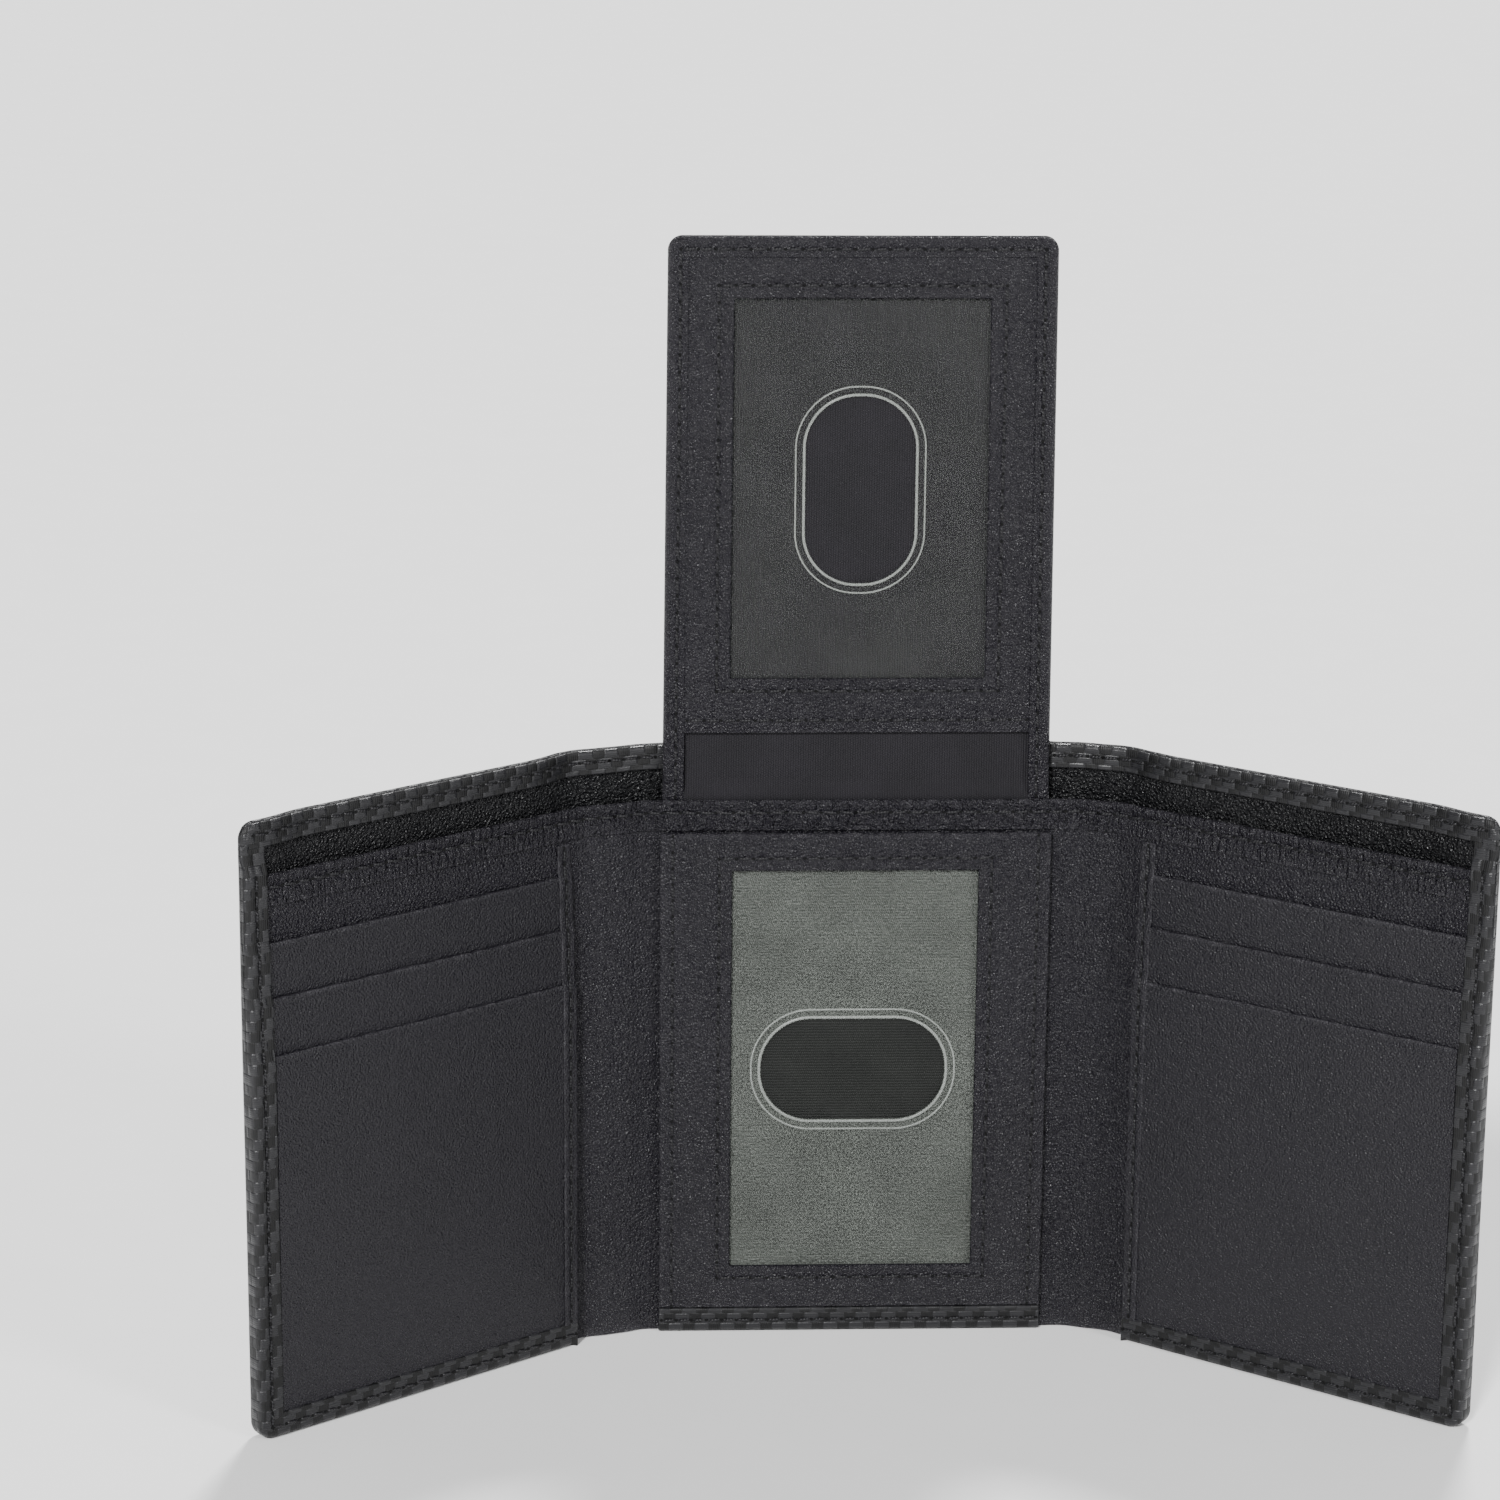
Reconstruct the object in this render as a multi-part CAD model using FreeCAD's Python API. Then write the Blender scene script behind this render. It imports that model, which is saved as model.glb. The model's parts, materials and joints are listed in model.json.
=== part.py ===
"""Trifold wallet, open and standing on its lower edges, with the identity-card flap turned up.

Frame: +X to the wearer's right along the open wallet, +Y to its outer (carbon-embossed) back,
+Z up along the folds.  The origin is the middle of the centre panel's lower edge.
Every panel is a stack of leather, lining and board layers.  The two wings hang on the centre
panel through a narrow spine each, so every wing has an inner and an outer fold line.
"""
import FreeCAD, Part
import math
import os

os.makedirs("parts", exist_ok=True)

Vector = FreeCAD.Vector

# ---------------------------------------------------------------- driving dimensions, mm
cover_height = 110.0          # outer leather, lower edge to turned top edge
divider_height = 100.5        # front wall of the bill compartment
panel_width = 69.5            # centre pocket stack
strip_width = 17.5            # bare strip between two pocket stacks
wing_length = 68.5            # wing pocket stack and its hem, inner edge to outer edge
fold_rest = 18.75             # degrees that each of the four fold lines is closed at rest

cover_thick = 0.9             # embossed outer leather
hem_width = 4.7               # outer leather turned round to the front
hem_thick = 0.7               # the same leather, skived thinner
top_hem_depth = 4.6           # outer leather turned into the bill compartment
corner_radius = 3.0
board_thick = 0.4             # hidden stiffener board
lining_thick = 0.25
divider_thick = 0.6

centre_bill_gap = 4.6         # open width of the bill compartment
spine_bill_gap = 2.6
wing_bill_gap = 1.2

frame_thick = 0.7             # leather frame round the centre window
vinyl_thick = 0.25
card_gap = 0.35               # room for one card behind the vinyl
frame_bottom = 4.8
frame_top = 94.7
window_x = (-21.9, 21.9)
window_z = (12.9, 87.8)
window_radius = 1.0
slot_long = 33.0              # thumb slot in the vinyl
slot_short = 19.0
slot_radius = 9.0

lip_heights = (88.6, 79.0, 69.0)   # top edges of the three card slots of a wing
slot_pitch = 0.6              # depth that each card slot adds to the wing stack
slot_thick = 0.4
slot_tuck = 6.0               # leather of a slot that runs down behind the next lip
slot_lining_thick = 0.12
wing_stack = 2.0              # wing divider face to the front of the hem
binding_width = 3.0
binding_thick = 0.2

flap_length = 99.7            # hinge line to free edge
flap_width_hinge = 68.6
flap_width_tip = 67.2
flap_frame_thick = 0.6
flap_vinyl_thick = 0.2
flap_card_gap = 0.25
flap_lining_thick = 0.15
flap_back_thick = 0.5
flap_mouth = 11.6             # pocket mouth above the hinge line
tail_length = 12.0            # hinge leather sewn behind the divider
flap_window_x = (-22.5, 22.5)
flap_window_z = (21.5, 88.8)  # above the hinge line
flap_border = 3.8
turned_edge = 1.0             # inner layers stop this far inside a turned edge

fold_inset = 1.0              # fold line behind the divider's front face
front_clear = 1.3             # divider ends short of a fold line
back_clear = 0.3              # outer layers end short of a fold line
layer_clear = 0.05            # hand clearance between pieces sewn together
closed_clear = 0.5            # gap between closed panels
flap_clear = 0.4              # gap between the lowered flap and the centre frame

thread_wide = 0.4
thread_thick = 0.14
seam_inset = 2.3              # stitch line in from an edge

# ---------------------------------------------------------------- derived depths
divider_front = frame_thick + vinyl_thick + card_gap + lining_thick
centre_depth = (divider_front + divider_thick + centre_bill_gap + lining_thick
                + board_thick + cover_thick)
front_y = -centre_depth / 2   # front face of the centre stack
fold_y = front_y + divider_front + fold_inset
flap_thick = (flap_frame_thick + flap_vinyl_thick + flap_card_gap + flap_lining_thick
              + flap_back_thick)
wing_back = (divider_thick + wing_bill_gap + lining_thick + board_thick + cover_thick)

# Closed order from the centre out: flap, right wing, left wing.
right_closed = divider_front + flap_clear + flap_thick + closed_clear + wing_stack
left_closed = right_closed + wing_back + closed_clear + wing_stack
fold_spacing = {
    "right": right_closed + 2 * fold_inset,
    "left": left_closed + 2 * fold_inset,
}
fold_margin = {side: (strip_width - d) / 2 for side, d in fold_spacing.items()}

# The flap turns about a line just above and in front of the divider's top edge.
flap_fold_y = front_y + (divider_front + divider_thick + layer_clear - flap_clear) / 2
flap_fold_z = divider_height + flap_clear
flap_offset = flap_fold_y - front_y + flap_clear

nodes = {}


# ---------------------------------------------------------------- shape helpers
def block(x, y, z):
    """Box between the (low, high) pairs x, y and z."""
    return Part.makeBox(x[1] - x[0], y[1] - y[0], z[1] - z[0], Vector(x[0], y[0], z[0]))


def rounded_plate(x, y, z, radii):
    """Plate across y, with corner radii (lower left, lower right, upper right, upper left)."""
    turns = [
        (x[0], z[0], 1, 1, radii[0]),
        (x[1], z[0], -1, 1, radii[1]),
        (x[1], z[1], -1, -1, radii[2]),
        (x[0], z[1], 1, -1, radii[3]),
    ]
    starts = []
    ends = []
    arcs = []
    for index, (cx, cz, in_x, in_z, radius) in enumerate(turns):
        along_z = Vector(cx, y[0], cz + in_z * radius)
        along_x = Vector(cx + in_x * radius, y[0], cz)
        first, last = (along_z, along_x) if index % 2 == 0 else (along_x, along_z)
        starts.append(first)
        ends.append(last)
        if radius > 0:
            lean = radius * (1 - math.sqrt(0.5))
            middle = Vector(cx + in_x * lean, y[0], cz + in_z * lean)
            arcs.append(Part.Arc(first, middle, last).toShape())
        else:
            arcs.append(None)
    edges = []
    for index in range(4):
        if arcs[index] is not None:
            edges.append(arcs[index])
        edges.append(Part.makeLine(ends[index], starts[(index + 1) % 4]))
    face = Part.Face(Part.Wire(edges))
    return face.extrude(Vector(0, y[1] - y[0], 0))


def union(*shapes):
    return shapes[0].fuse(list(shapes[1:])).removeSplitter()


def about(middle, size):
    """The (low, high) pair of a span of this size."""
    return (middle - size / 2, middle + size / 2)


def thumb_slot(x, y, z):
    """The rounded hole in a vinyl window that a thumb pushes the card through."""
    return rounded_plate(x, y, z, (slot_radius,) * 4)


def seam_frame(x, y, z):
    """A rectangular line of thread."""
    outer = block(x, y, z)
    inner = block(
        (x[0] + thread_wide, x[1] - thread_wide),
        y,
        (z[0] + thread_wide, z[1] - thread_wide),
    )
    return outer.cut(inner)


def on_front(face_y):
    """Depth of thread lying on a face that looks towards -Y."""
    return (face_y - thread_thick, face_y)


def on_back(face_y):
    """Depth of thread lying on a face that looks towards +Y."""
    return (face_y, face_y + thread_thick)


def thread_across(middle):
    """The width of a line of thread."""
    return about(middle, thread_wide)


# ---------------------------------------------------------------- centre panel
def layer_depths(first, thicknesses):
    """(front, back) of each layer, one behind the other."""
    depths = []
    front = first
    for thickness in thicknesses:
        depths.append((front, front + thickness))
        front += thickness
    return depths


def centre_panel():
    frame_y, vinyl_y, _, pocket_y, divider_y, _, lining_y, board_y, cover_y = layer_depths(
        front_y,
        (frame_thick, vinyl_thick, card_gap, lining_thick, divider_thick,
         centre_bill_gap, lining_thick, board_thick, cover_thick),
    )
    half = panel_width / 2
    fold_left = -half - fold_margin["left"]
    fold_right = half + fold_margin["right"]
    front_x = (fold_left + front_clear, fold_right - front_clear)
    back_x = (fold_left + back_clear, fold_right - back_clear)

    back_wall = block(back_x, cover_y, (0, cover_height))
    floor = block((-half, half), (front_y, cover_y[1]), (0, cover_thick))
    front_hem = block((-half, half), (front_y, front_y + hem_thick), (0, hem_width))
    top_fold = block(back_x, (lining_y[0] - hem_thick, cover_y[1]),
                     (cover_height - cover_thick, cover_height))
    top_hem = block(back_x, (lining_y[0] - hem_thick, lining_y[0]),
                    (cover_height - top_hem_depth, cover_height))
    nodes["centre_cover"] = union(back_wall, floor, front_hem, top_fold, top_hem)

    low = cover_thick + layer_clear
    under_fold = cover_height - cover_thick - layer_clear
    nodes["centre_stiffener"] = block((-half, half), board_y, (low, under_fold))
    nodes["centre_bill_lining"] = block(back_x, lining_y, (low, under_fold))
    nodes["centre_divider"] = block(front_x, divider_y, (low, divider_height))

    pocket_x = (-half + layer_clear, half - layer_clear)
    nodes["id_pocket_lining"] = block(pocket_x, pocket_y, (frame_bottom, frame_top))
    slot = thumb_slot(about(0, slot_long), vinyl_y, about(sum(window_z) / 2, slot_short))
    nodes["id_pocket_window"] = block(pocket_x, vinyl_y, (frame_bottom, frame_top)).cut(slot)
    opening = rounded_plate(window_x, frame_y, window_z, (window_radius,) * 4)
    frame = block((-half, half), frame_y, (frame_bottom, frame_top))
    nodes["id_pocket_frame"] = frame.cut(opening)

    tail_y = (divider_y[1], divider_y[1] + lining_thick)
    nodes["flap_hinge_tail"] = block(
        about(0, flap_width_hinge - 2 * layer_clear),
        tail_y,
        (divider_height - tail_length, divider_height),
    )

    on_frame = on_front(front_y)
    nodes["id_pocket_thread"] = Part.makeCompound([
        seam_frame(
            (window_x[0] - seam_inset, window_x[1] + seam_inset),
            on_frame,
            (window_z[0] - seam_inset, window_z[1] + seam_inset),
        ),
        block(thread_across(-half + seam_inset), on_frame, (frame_bottom, frame_top)),
        block(thread_across(half - seam_inset), on_frame, (frame_bottom, frame_top)),
    ])
    nodes["centre_hem_thread"] = block(
        (-half, half), on_frame, thread_across(hem_width / 2)
    )
    nodes["centre_divider_thread"] = block(
        front_x, on_front(divider_y[0]), thread_across(divider_height - seam_inset)
    )
    nodes["centre_cover_thread"] = Part.makeCompound([
        block(back_x, on_back(cover_y[1]), thread_across(cover_height - seam_inset)),
        block((-half, half), on_back(cover_y[1]), thread_across(seam_inset)),
    ])


# ---------------------------------------------------------------- spines and wings
def fold_point(side, outer):
    """Where a fold line stands, on the +X side of the wallet."""
    inner_x = panel_width / 2 + fold_margin[side]
    if not outer:
        return Vector(inner_x, fold_y, 0)
    angle = math.radians(fold_rest)
    reach = fold_spacing[side]
    return Vector(inner_x + reach * math.cos(angle), fold_y - reach * math.sin(angle), 0)


def settle(shape, side, outer):
    """Turns a panel built along +X from its fold line at the origin into its resting place."""
    turned = shape.copy()
    turned.rotate(Vector(0, 0, 0), Vector(0, 0, 1), -fold_rest * (2 if outer else 1))
    turned.translate(fold_point(side, outer))
    if side == "left":
        turned = turned.mirror(Vector(0, 0, 0), Vector(1, 0, 0))
    return turned


def spine(side):
    """The narrow panel that goes round the closed wallet's edge, built from its inner fold line."""
    divider_y, _, lining_y, cover_y = layer_depths(
        -fold_inset, (divider_thick, spine_bill_gap, lining_thick, cover_thick)
    )
    reach = fold_spacing[side]
    back_x = (back_clear, reach - back_clear)
    front_x = (front_clear, reach - front_clear)
    hem_front = lining_y[0] - hem_thick
    under_fold = cover_height - cover_thick - layer_clear
    pieces = {
        "cover": union(
            block(back_x, cover_y, (0, cover_height)),
            block(back_x, (hem_front, cover_y[1]), (cover_height - cover_thick, cover_height)),
            block(back_x, (hem_front, lining_y[0]), (cover_height - top_hem_depth, cover_height)),
        ),
        "bill_lining": block(back_x, lining_y, (layer_clear, under_fold)),
        "divider": block(front_x, divider_y, (0, divider_height)),
        "cover_thread": block(
            back_x, on_back(cover_y[1]), thread_across(cover_height - seam_inset)
        ),
    }
    for name, shape in pieces.items():
        nodes[f"{side}_spine_{name}"] = settle(shape, side, False)


def wing_cover(x_end, divider_y, lining_y, cover_y):
    """Outer leather of a wing, wrapped round its lower and outer edges and its top edge."""
    stack_start = x_end - wing_length
    front = divider_y[0] - wing_stack
    round_outer = (0, corner_radius, corner_radius, 0)
    round_inner = (0, corner_radius - cover_thick, corner_radius - cover_thick, 0)
    whole = rounded_plate(
        (back_clear, x_end), (front, cover_y[1]), (0, cover_height), round_outer
    )
    hollow = rounded_plate(
        (0, x_end - cover_thick),
        (front + hem_thick, cover_y[0]),
        (cover_thick, cover_height - cover_thick),
        round_inner,
    )
    front_window = block(
        (0, x_end - hem_width), (front, front + hem_thick), (hem_width, cover_height)
    )
    mouth = block(
        (0, x_end - hem_width),
        (front, lining_y[0] - hem_thick),
        (cover_height - cover_thick, cover_height),
    )
    bare_strip = block((0, stack_start), (front, cover_y[0]), (0, hem_width))
    top_hem = block(
        (back_clear, x_end - cover_thick),
        (lining_y[0] - hem_thick, lining_y[0]),
        (cover_height - top_hem_depth, cover_height - cover_thick),
    )
    shell = whole.cut([hollow, front_window, mouth, bare_strip])
    return union(shell, top_hem)


def wing(side):
    """A wing panel with three card slots, built from its outer fold line."""
    divider_y, _, lining_y, board_y, cover_y = layer_depths(
        -fold_inset,
        (divider_thick, wing_bill_gap, lining_thick, board_thick, cover_thick),
    )
    margin = fold_margin[side]
    x_end = margin + wing_length
    inside_end = x_end - cover_thick - layer_clear
    slot_end = x_end - hem_width - layer_clear
    low = cover_thick + layer_clear
    under_fold = cover_height - corner_radius
    front = divider_y[0] - wing_stack
    pieces = {
        "cover": wing_cover(x_end, divider_y, lining_y, cover_y),
        "stiffener": block((margin, inside_end - corner_radius), board_y, (low, under_fold)),
        "bill_lining": block((back_clear, inside_end - corner_radius), lining_y, (low, under_fold)),
        "divider": rounded_plate(
            (front_clear, inside_end), divider_y, (low, divider_height), (0, corner_radius, 0, 0)
        ),
    }

    for number, lip in enumerate(lip_heights, start=1):
        back = divider_y[0] - layer_clear - slot_pitch * (number - 1)
        lining = (back - slot_lining_thick, back)
        leather = (lining[0] - slot_thick, lining[0])
        slot_x = (margin + 2 * binding_thick, slot_end)
        last = number == len(lip_heights)
        foot = hem_width + layer_clear if last else lip_heights[number] - slot_tuck
        pieces[f"card_slot_{number}"] = block(slot_x, leather, (foot, lip))
        pieces[f"slot_lining_{number}"] = block(
            slot_x, lining, (hem_width + layer_clear, lip - turned_edge)
        )

    binding_z = (hem_width + layer_clear, lip_heights[0] + slot_pitch)
    pieces["edge_binding"] = union(
        block((margin, margin + binding_width), (front, front + binding_thick), binding_z),
        block((margin, margin + binding_thick), (front, divider_y[0]), binding_z),
    )

    on_wing = on_front(front)
    pieces["binding_thread"] = block(
        thread_across(margin + binding_width / 2), on_wing, binding_z
    )
    hem_line = x_end - hem_width / 2
    pieces["hem_thread"] = union(
        block((margin, hem_line + thread_wide / 2), on_wing, thread_across(hem_width / 2)),
        block(
            thread_across(hem_line), on_wing, (hem_width / 2, cover_height - corner_radius)
        ),
    )
    pieces["divider_thread"] = block(
        (front_clear, slot_end),
        on_front(divider_y[0]),
        thread_across(divider_height - seam_inset),
    )
    outer_line = x_end - seam_inset
    pieces["cover_thread"] = union(
        block((back_clear, outer_line), on_back(cover_y[1]),
                 thread_across(cover_height - seam_inset)),
        block(thread_across(outer_line), on_back(cover_y[1]),
                 (seam_inset, cover_height - seam_inset)),
        block((margin, outer_line), on_back(cover_y[1]), thread_across(seam_inset)),
    )
    for name, shape in pieces.items():
        nodes[f"{side}_wing_{name}"] = settle(shape, side, True)


# ---------------------------------------------------------------- identity-card flap
def flap_sheet(y, low, high, inset=0.0):
    """A layer of the flap, which narrows a little towards its free edge."""
    def half_width(height):
        share = height / flap_length
        return (flap_width_hinge + (flap_width_tip - flap_width_hinge) * share) / 2 - inset

    corners = [
        Vector(-half_width(low), y[0], flap_fold_z + low),
        Vector(half_width(low), y[0], flap_fold_z + low),
        Vector(half_width(high), y[0], flap_fold_z + high),
        Vector(-half_width(high), y[0], flap_fold_z + high),
    ]
    face = Part.Face(Part.makePolygon(corners + corners[:1]))
    return face.extrude(Vector(0, y[1] - y[0], 0))


def flap():
    frame_y, vinyl_y, _, lining_y, back_y = layer_depths(
        flap_fold_y + flap_offset,
        (flap_frame_thick, flap_vinyl_thick, flap_card_gap, flap_lining_thick, flap_back_thick),
    )
    root = flap_clear
    window_z_up = tuple(flap_fold_z + z for z in flap_window_z)
    mouth_z = flap_fold_z + flap_mouth
    inner_top = flap_length - turned_edge
    nodes["flap_back"] = flap_sheet(back_y, root, flap_length)
    nodes["flap_lining"] = flap_sheet(lining_y, root, inner_top, turned_edge)
    vinyl = flap_sheet(vinyl_y, flap_mouth + turned_edge, inner_top, turned_edge)
    slot = thumb_slot(
        about(0, slot_short), vinyl_y, about(sum(window_z_up) / 2, slot_long)
    )
    nodes["flap_window"] = vinyl.cut(slot)

    full = flap_sheet(frame_y, root, flap_length)
    opening = rounded_plate(flap_window_x, frame_y, window_z_up, (window_radius,) * 4)
    inner_half = flap_width_hinge / 2 - flap_border
    mouth = block((-inner_half, inner_half), frame_y, (flap_fold_z, mouth_z))
    nodes["flap_frame"] = full.cut([opening, mouth])

    on_flap = on_front(frame_y[0])
    edge_x = flap_width_tip / 2 - seam_inset
    edge_top = flap_fold_z + flap_length - seam_inset
    nodes["flap_edge_thread"] = union(
        block(thread_across(-edge_x), on_flap, (flap_fold_z + root, edge_top)),
        block(thread_across(edge_x), on_flap, (flap_fold_z + root, edge_top)),
        block((-edge_x, edge_x), on_flap, thread_across(edge_top)),
    )
    nodes["flap_window_thread"] = Part.makeCompound([
        seam_frame(
            (flap_window_x[0] - seam_inset, flap_window_x[1] + seam_inset),
            on_flap,
            (window_z_up[0] - seam_inset, window_z_up[1] + seam_inset),
        ),
        block((-inner_half, inner_half), on_flap, thread_across(mouth_z + seam_inset)),
    ])


# ---------------------------------------------------------------- build and write
centre_panel()
for side in ("left", "right"):
    spine(side)
    wing(side)
flap()

for name, shape in nodes.items():
    shape.exportStep(f"parts/{name}.step")

for side in ("left", "right"):
    mirror = -1 if side == "left" else 1
    for outer in (False, True):
        point = fold_point(side, outer)
        print(side, "outer" if outer else "inner", round(mirror * point.x, 4), round(point.y, 4))
print("flap", round(flap_fold_y, 4), round(flap_fold_z, 4), "front", round(front_y, 4))
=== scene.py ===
"""Trifold wallet: the leather, lining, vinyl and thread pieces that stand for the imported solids.

Every piece is laid out on the opened, flat wallet and then folded to rest.  In that layout u runs
outward from the middle of the centre panel, d runs into the stack from the fold lines' plane
(negative towards the card side) and z runs up.  Lengths are millimetres until a mesh is made.
"""
import bpy
import json
import math
import numpy as np
from mathutils import Matrix, Vector


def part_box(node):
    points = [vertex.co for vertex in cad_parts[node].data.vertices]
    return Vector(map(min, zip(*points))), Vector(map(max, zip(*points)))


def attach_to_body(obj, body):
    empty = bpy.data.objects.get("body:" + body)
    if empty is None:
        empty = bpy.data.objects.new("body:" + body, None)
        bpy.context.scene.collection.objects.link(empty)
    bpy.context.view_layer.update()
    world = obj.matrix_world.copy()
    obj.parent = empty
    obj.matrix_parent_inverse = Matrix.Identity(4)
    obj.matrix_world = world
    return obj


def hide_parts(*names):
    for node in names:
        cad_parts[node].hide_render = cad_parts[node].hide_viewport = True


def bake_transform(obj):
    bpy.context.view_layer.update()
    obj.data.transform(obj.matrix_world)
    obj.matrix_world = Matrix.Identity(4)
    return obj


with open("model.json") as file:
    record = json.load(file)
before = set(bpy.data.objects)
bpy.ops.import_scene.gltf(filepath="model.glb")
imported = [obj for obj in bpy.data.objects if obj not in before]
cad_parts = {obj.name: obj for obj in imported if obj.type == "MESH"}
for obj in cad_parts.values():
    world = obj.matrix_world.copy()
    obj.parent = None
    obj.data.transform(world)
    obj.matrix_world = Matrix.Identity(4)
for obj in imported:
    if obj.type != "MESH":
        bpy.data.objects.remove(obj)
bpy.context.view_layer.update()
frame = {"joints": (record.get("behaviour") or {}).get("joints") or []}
joints = {joint["name"]: joint for joint in frame["joints"]}

MM = 0.001
SIDES = ("left", "right")
MIRROR = {"left": -1, "right": 1}


def span(node, axis):
    """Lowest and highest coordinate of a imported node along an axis."""
    low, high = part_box(node)
    return low[axis] / MM, high[axis] / MM


# ---------------------------------------------------------------- sizes of the layout
FOLD_Y = joints["right_fold_inner"]["pos_m"][1] / MM
REST_TURN = math.radians(-joints["right_fold_inner"]["range_deg"][0])
PANEL_HALF = span("id_pocket_frame", 0)[1]
COVER_TOP = span("centre_cover", 2)[1]
DIVIDER_TOP = span("centre_divider", 2)[1]
FRAME_FRONT = span("id_pocket_frame", 1)[0] - FOLD_Y
FRAME_BACK = span("id_pocket_frame", 1)[1] - FOLD_Y
VINYL_BACK = span("id_pocket_window", 1)[1] - FOLD_Y
DIVIDER_FRONT = span("centre_divider", 1)[0] - FOLD_Y
DIVIDER_BACK = span("centre_divider", 1)[1] - FOLD_Y
BILL_GAP = {
    "centre": span("centre_bill_lining", 1)[0] - span("centre_divider", 1)[1],
    "spine": 2.6,
    "wing": 1.2,
}
WING_LENGTH = 68.5
WING_FRONT = DIVIDER_FRONT - 2.0
LIPS = (88.6, 79.0, 69.0)
SLOT_PITCH = 0.6
SLOT_THICK = 0.4
COVER_THICK = 0.9
HEM_THICK = 0.7
HEM_WIDTH = 4.7
TOP_HEM = 4.6
BOARD = 0.4
LINING = 0.25
CORNER = 3.0
SEAM_INSET = 2.3
INSIDE_PITCH = 3.0
OUTSIDE_PITCH = 2.7
BAND_LOW = 94.9
BAND_THICK = 0.35
BAND_GROOVE = 0.22
OVERLAP = 0.05
THINNEST = 0.04
HEM_ROLL = 1.3
TURNED = 0.85

FOLD = {}
for side in SIDES:
    inner = joints[f"{side}_fold_inner"]["pos_m"]
    outer = joints[f"{side}_fold_outer"]["pos_m"]
    first = abs(inner[0]) / MM
    FOLD[side] = (first, first + math.dist(inner[:2], outer[:2]) / MM)
MARGIN = {side: FOLD[side][0] - PANEL_HALF for side in SIDES}
MID_SPINE = {side: sum(FOLD[side]) / 2 for side in SIDES}
STACK_START = {side: FOLD[side][1] + MARGIN[side] for side in SIDES}
WING_END = {side: STACK_START[side] + WING_LENGTH for side in SIDES}
SLOT_END = {side: WING_END[side] - HEM_WIDTH - OVERLAP for side in SIDES}

FLAP_LINE = [value / MM for value in joints["flap_fold"]["pos_m"]]
FLAP_TOP = span("flap_back", 2)[1]
FLAP_FRONT = span("flap_frame", 1)[0]
FLAP_REAR = span("flap_back", 1)[1]
FLAP_LINING = span("flap_lining", 1)
FLAP_VINYL = span("flap_window", 1)
FLAP_HALF_ROOT = 34.3
FLAP_HALF_TIP = 33.6
FLAP_BORDER = 3.8
FLAP_MOUTH = 112.5
FLAP_WINDOW = (22.5, 122.4, 189.7)
FLAP_BEND = (DIVIDER_TOP - 0.2, DIVIDER_TOP + 4.6)
CENTRE_WINDOW = (21.9, 12.9, 87.8)
SLOT_HALVES = (16.5, 9.5, 9.0)


# ---------------------------------------------------------------- folding
def smooth(share):
    share = np.clip(share, 0.0, 1.0)
    return share * share * (3 - 2 * share)


def bend_zones(side, layer):
    """How far each fold's bend reaches before and after its line, for the inner and outer fold."""
    towards = min(5.0, (FOLD[side][1] - FOLD[side][0]) / 2 - 0.1)
    away = MARGIN[side] if layer == "front" else 4.6
    return (away, towards), (towards, away)


def fold(side, layer, u, d):
    """From the flat layout to the resting place, as x and y."""
    x, y = np.array(u, float), np.array(d, float)
    for line, (before, after) in zip(reversed(FOLD[side]), reversed(bend_zones(side, layer))):
        angle = -REST_TURN * smooth((u - line + before) / (before + after))
        from_line = x - line
        x = line + from_line * np.cos(angle) - y * np.sin(angle)
        y = from_line * np.sin(angle) + y * np.cos(angle)
    return MIRROR[side] * x, FOLD_Y + y


def fold_call(side, layer, outer):
    """The bodies and the ends of a fold's bend."""
    line = FOLD[side][outer]
    before, after = bend_zones(side, layer)[outer]
    ends = []
    for u in (line - before, line + after):
        x, y = fold(side, layer, np.array(u), np.array(0.0))
        ends.append((float(x) * MM, float(y) * MM, 0.0))
    bodies = (f"{side}_spine", f"{side}_wing") if outer else ("centre", f"{side}_spine")
    return (*bodies, *ends)


FLAP_CALL = (
    "centre",
    "flap",
    (0.0, FLAP_FRONT * MM, FLAP_BEND[0] * MM),
    (0.0, FLAP_FRONT * MM, FLAP_BEND[1] * MM),
)


# ---------------------------------------------------------------- depths of the layers
def ripple(u, z, phase, height=0.08):
    """The slow unevenness of hand-laid leather."""
    waves = np.sin(u / 7 + phase) + np.sin(z / 11 + 2.1 * phase) + np.sin((u + z) / 15 - phase)
    return height * waves / 3


def bill_gap(side, u):
    first, second = FOLD[side]
    to_spine = smooth((u - first + 14) / 14)
    to_wing = smooth((u - second + 2) / 12)
    gap = BILL_GAP["centre"] + (BILL_GAP["spine"] - BILL_GAP["centre"]) * to_spine
    return gap + (BILL_GAP["wing"] - BILL_GAP["spine"]) * to_wing


def lining_face(side, u, z):
    """Front of the bill lining: the compartment is sewn shut below and at its outer ends."""
    closed_below = smooth((z - 5) / 50)
    closed_outside = smooth((WING_END[side] - HEM_WIDTH - u) / 9)
    return DIVIDER_BACK + OVERLAP + bill_gap(side, u) * closed_below * closed_outside


def cover_face(side, u, z):
    """Outside of the embossed leather."""
    on_centre = 1 - smooth((u - PANEL_HALF + 1) / 2.5)
    on_wing = smooth((u - STACK_START[side] + 1.5) / 2.5)
    return (lining_face(side, u, z) + LINING + BOARD * (on_centre + on_wing) + COVER_THICK
            + ripple(u * MIRROR[side], z, 0.4, 0.12))


def slots_under(z):
    """How many card slots lie under this height, changing smoothly at each lip."""
    return sum(smooth((lip - z + 1.2) / 2.4) for lip in LIPS)


def hem_face(z):
    """Front of the leather turned round a wing's edge, which follows the slots beneath it."""
    over_stack = WING_FRONT + 0.45 * (len(LIPS) - slots_under(z))
    return over_stack + 0.75 * smooth((z - DIVIDER_TOP) / 3)


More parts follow.
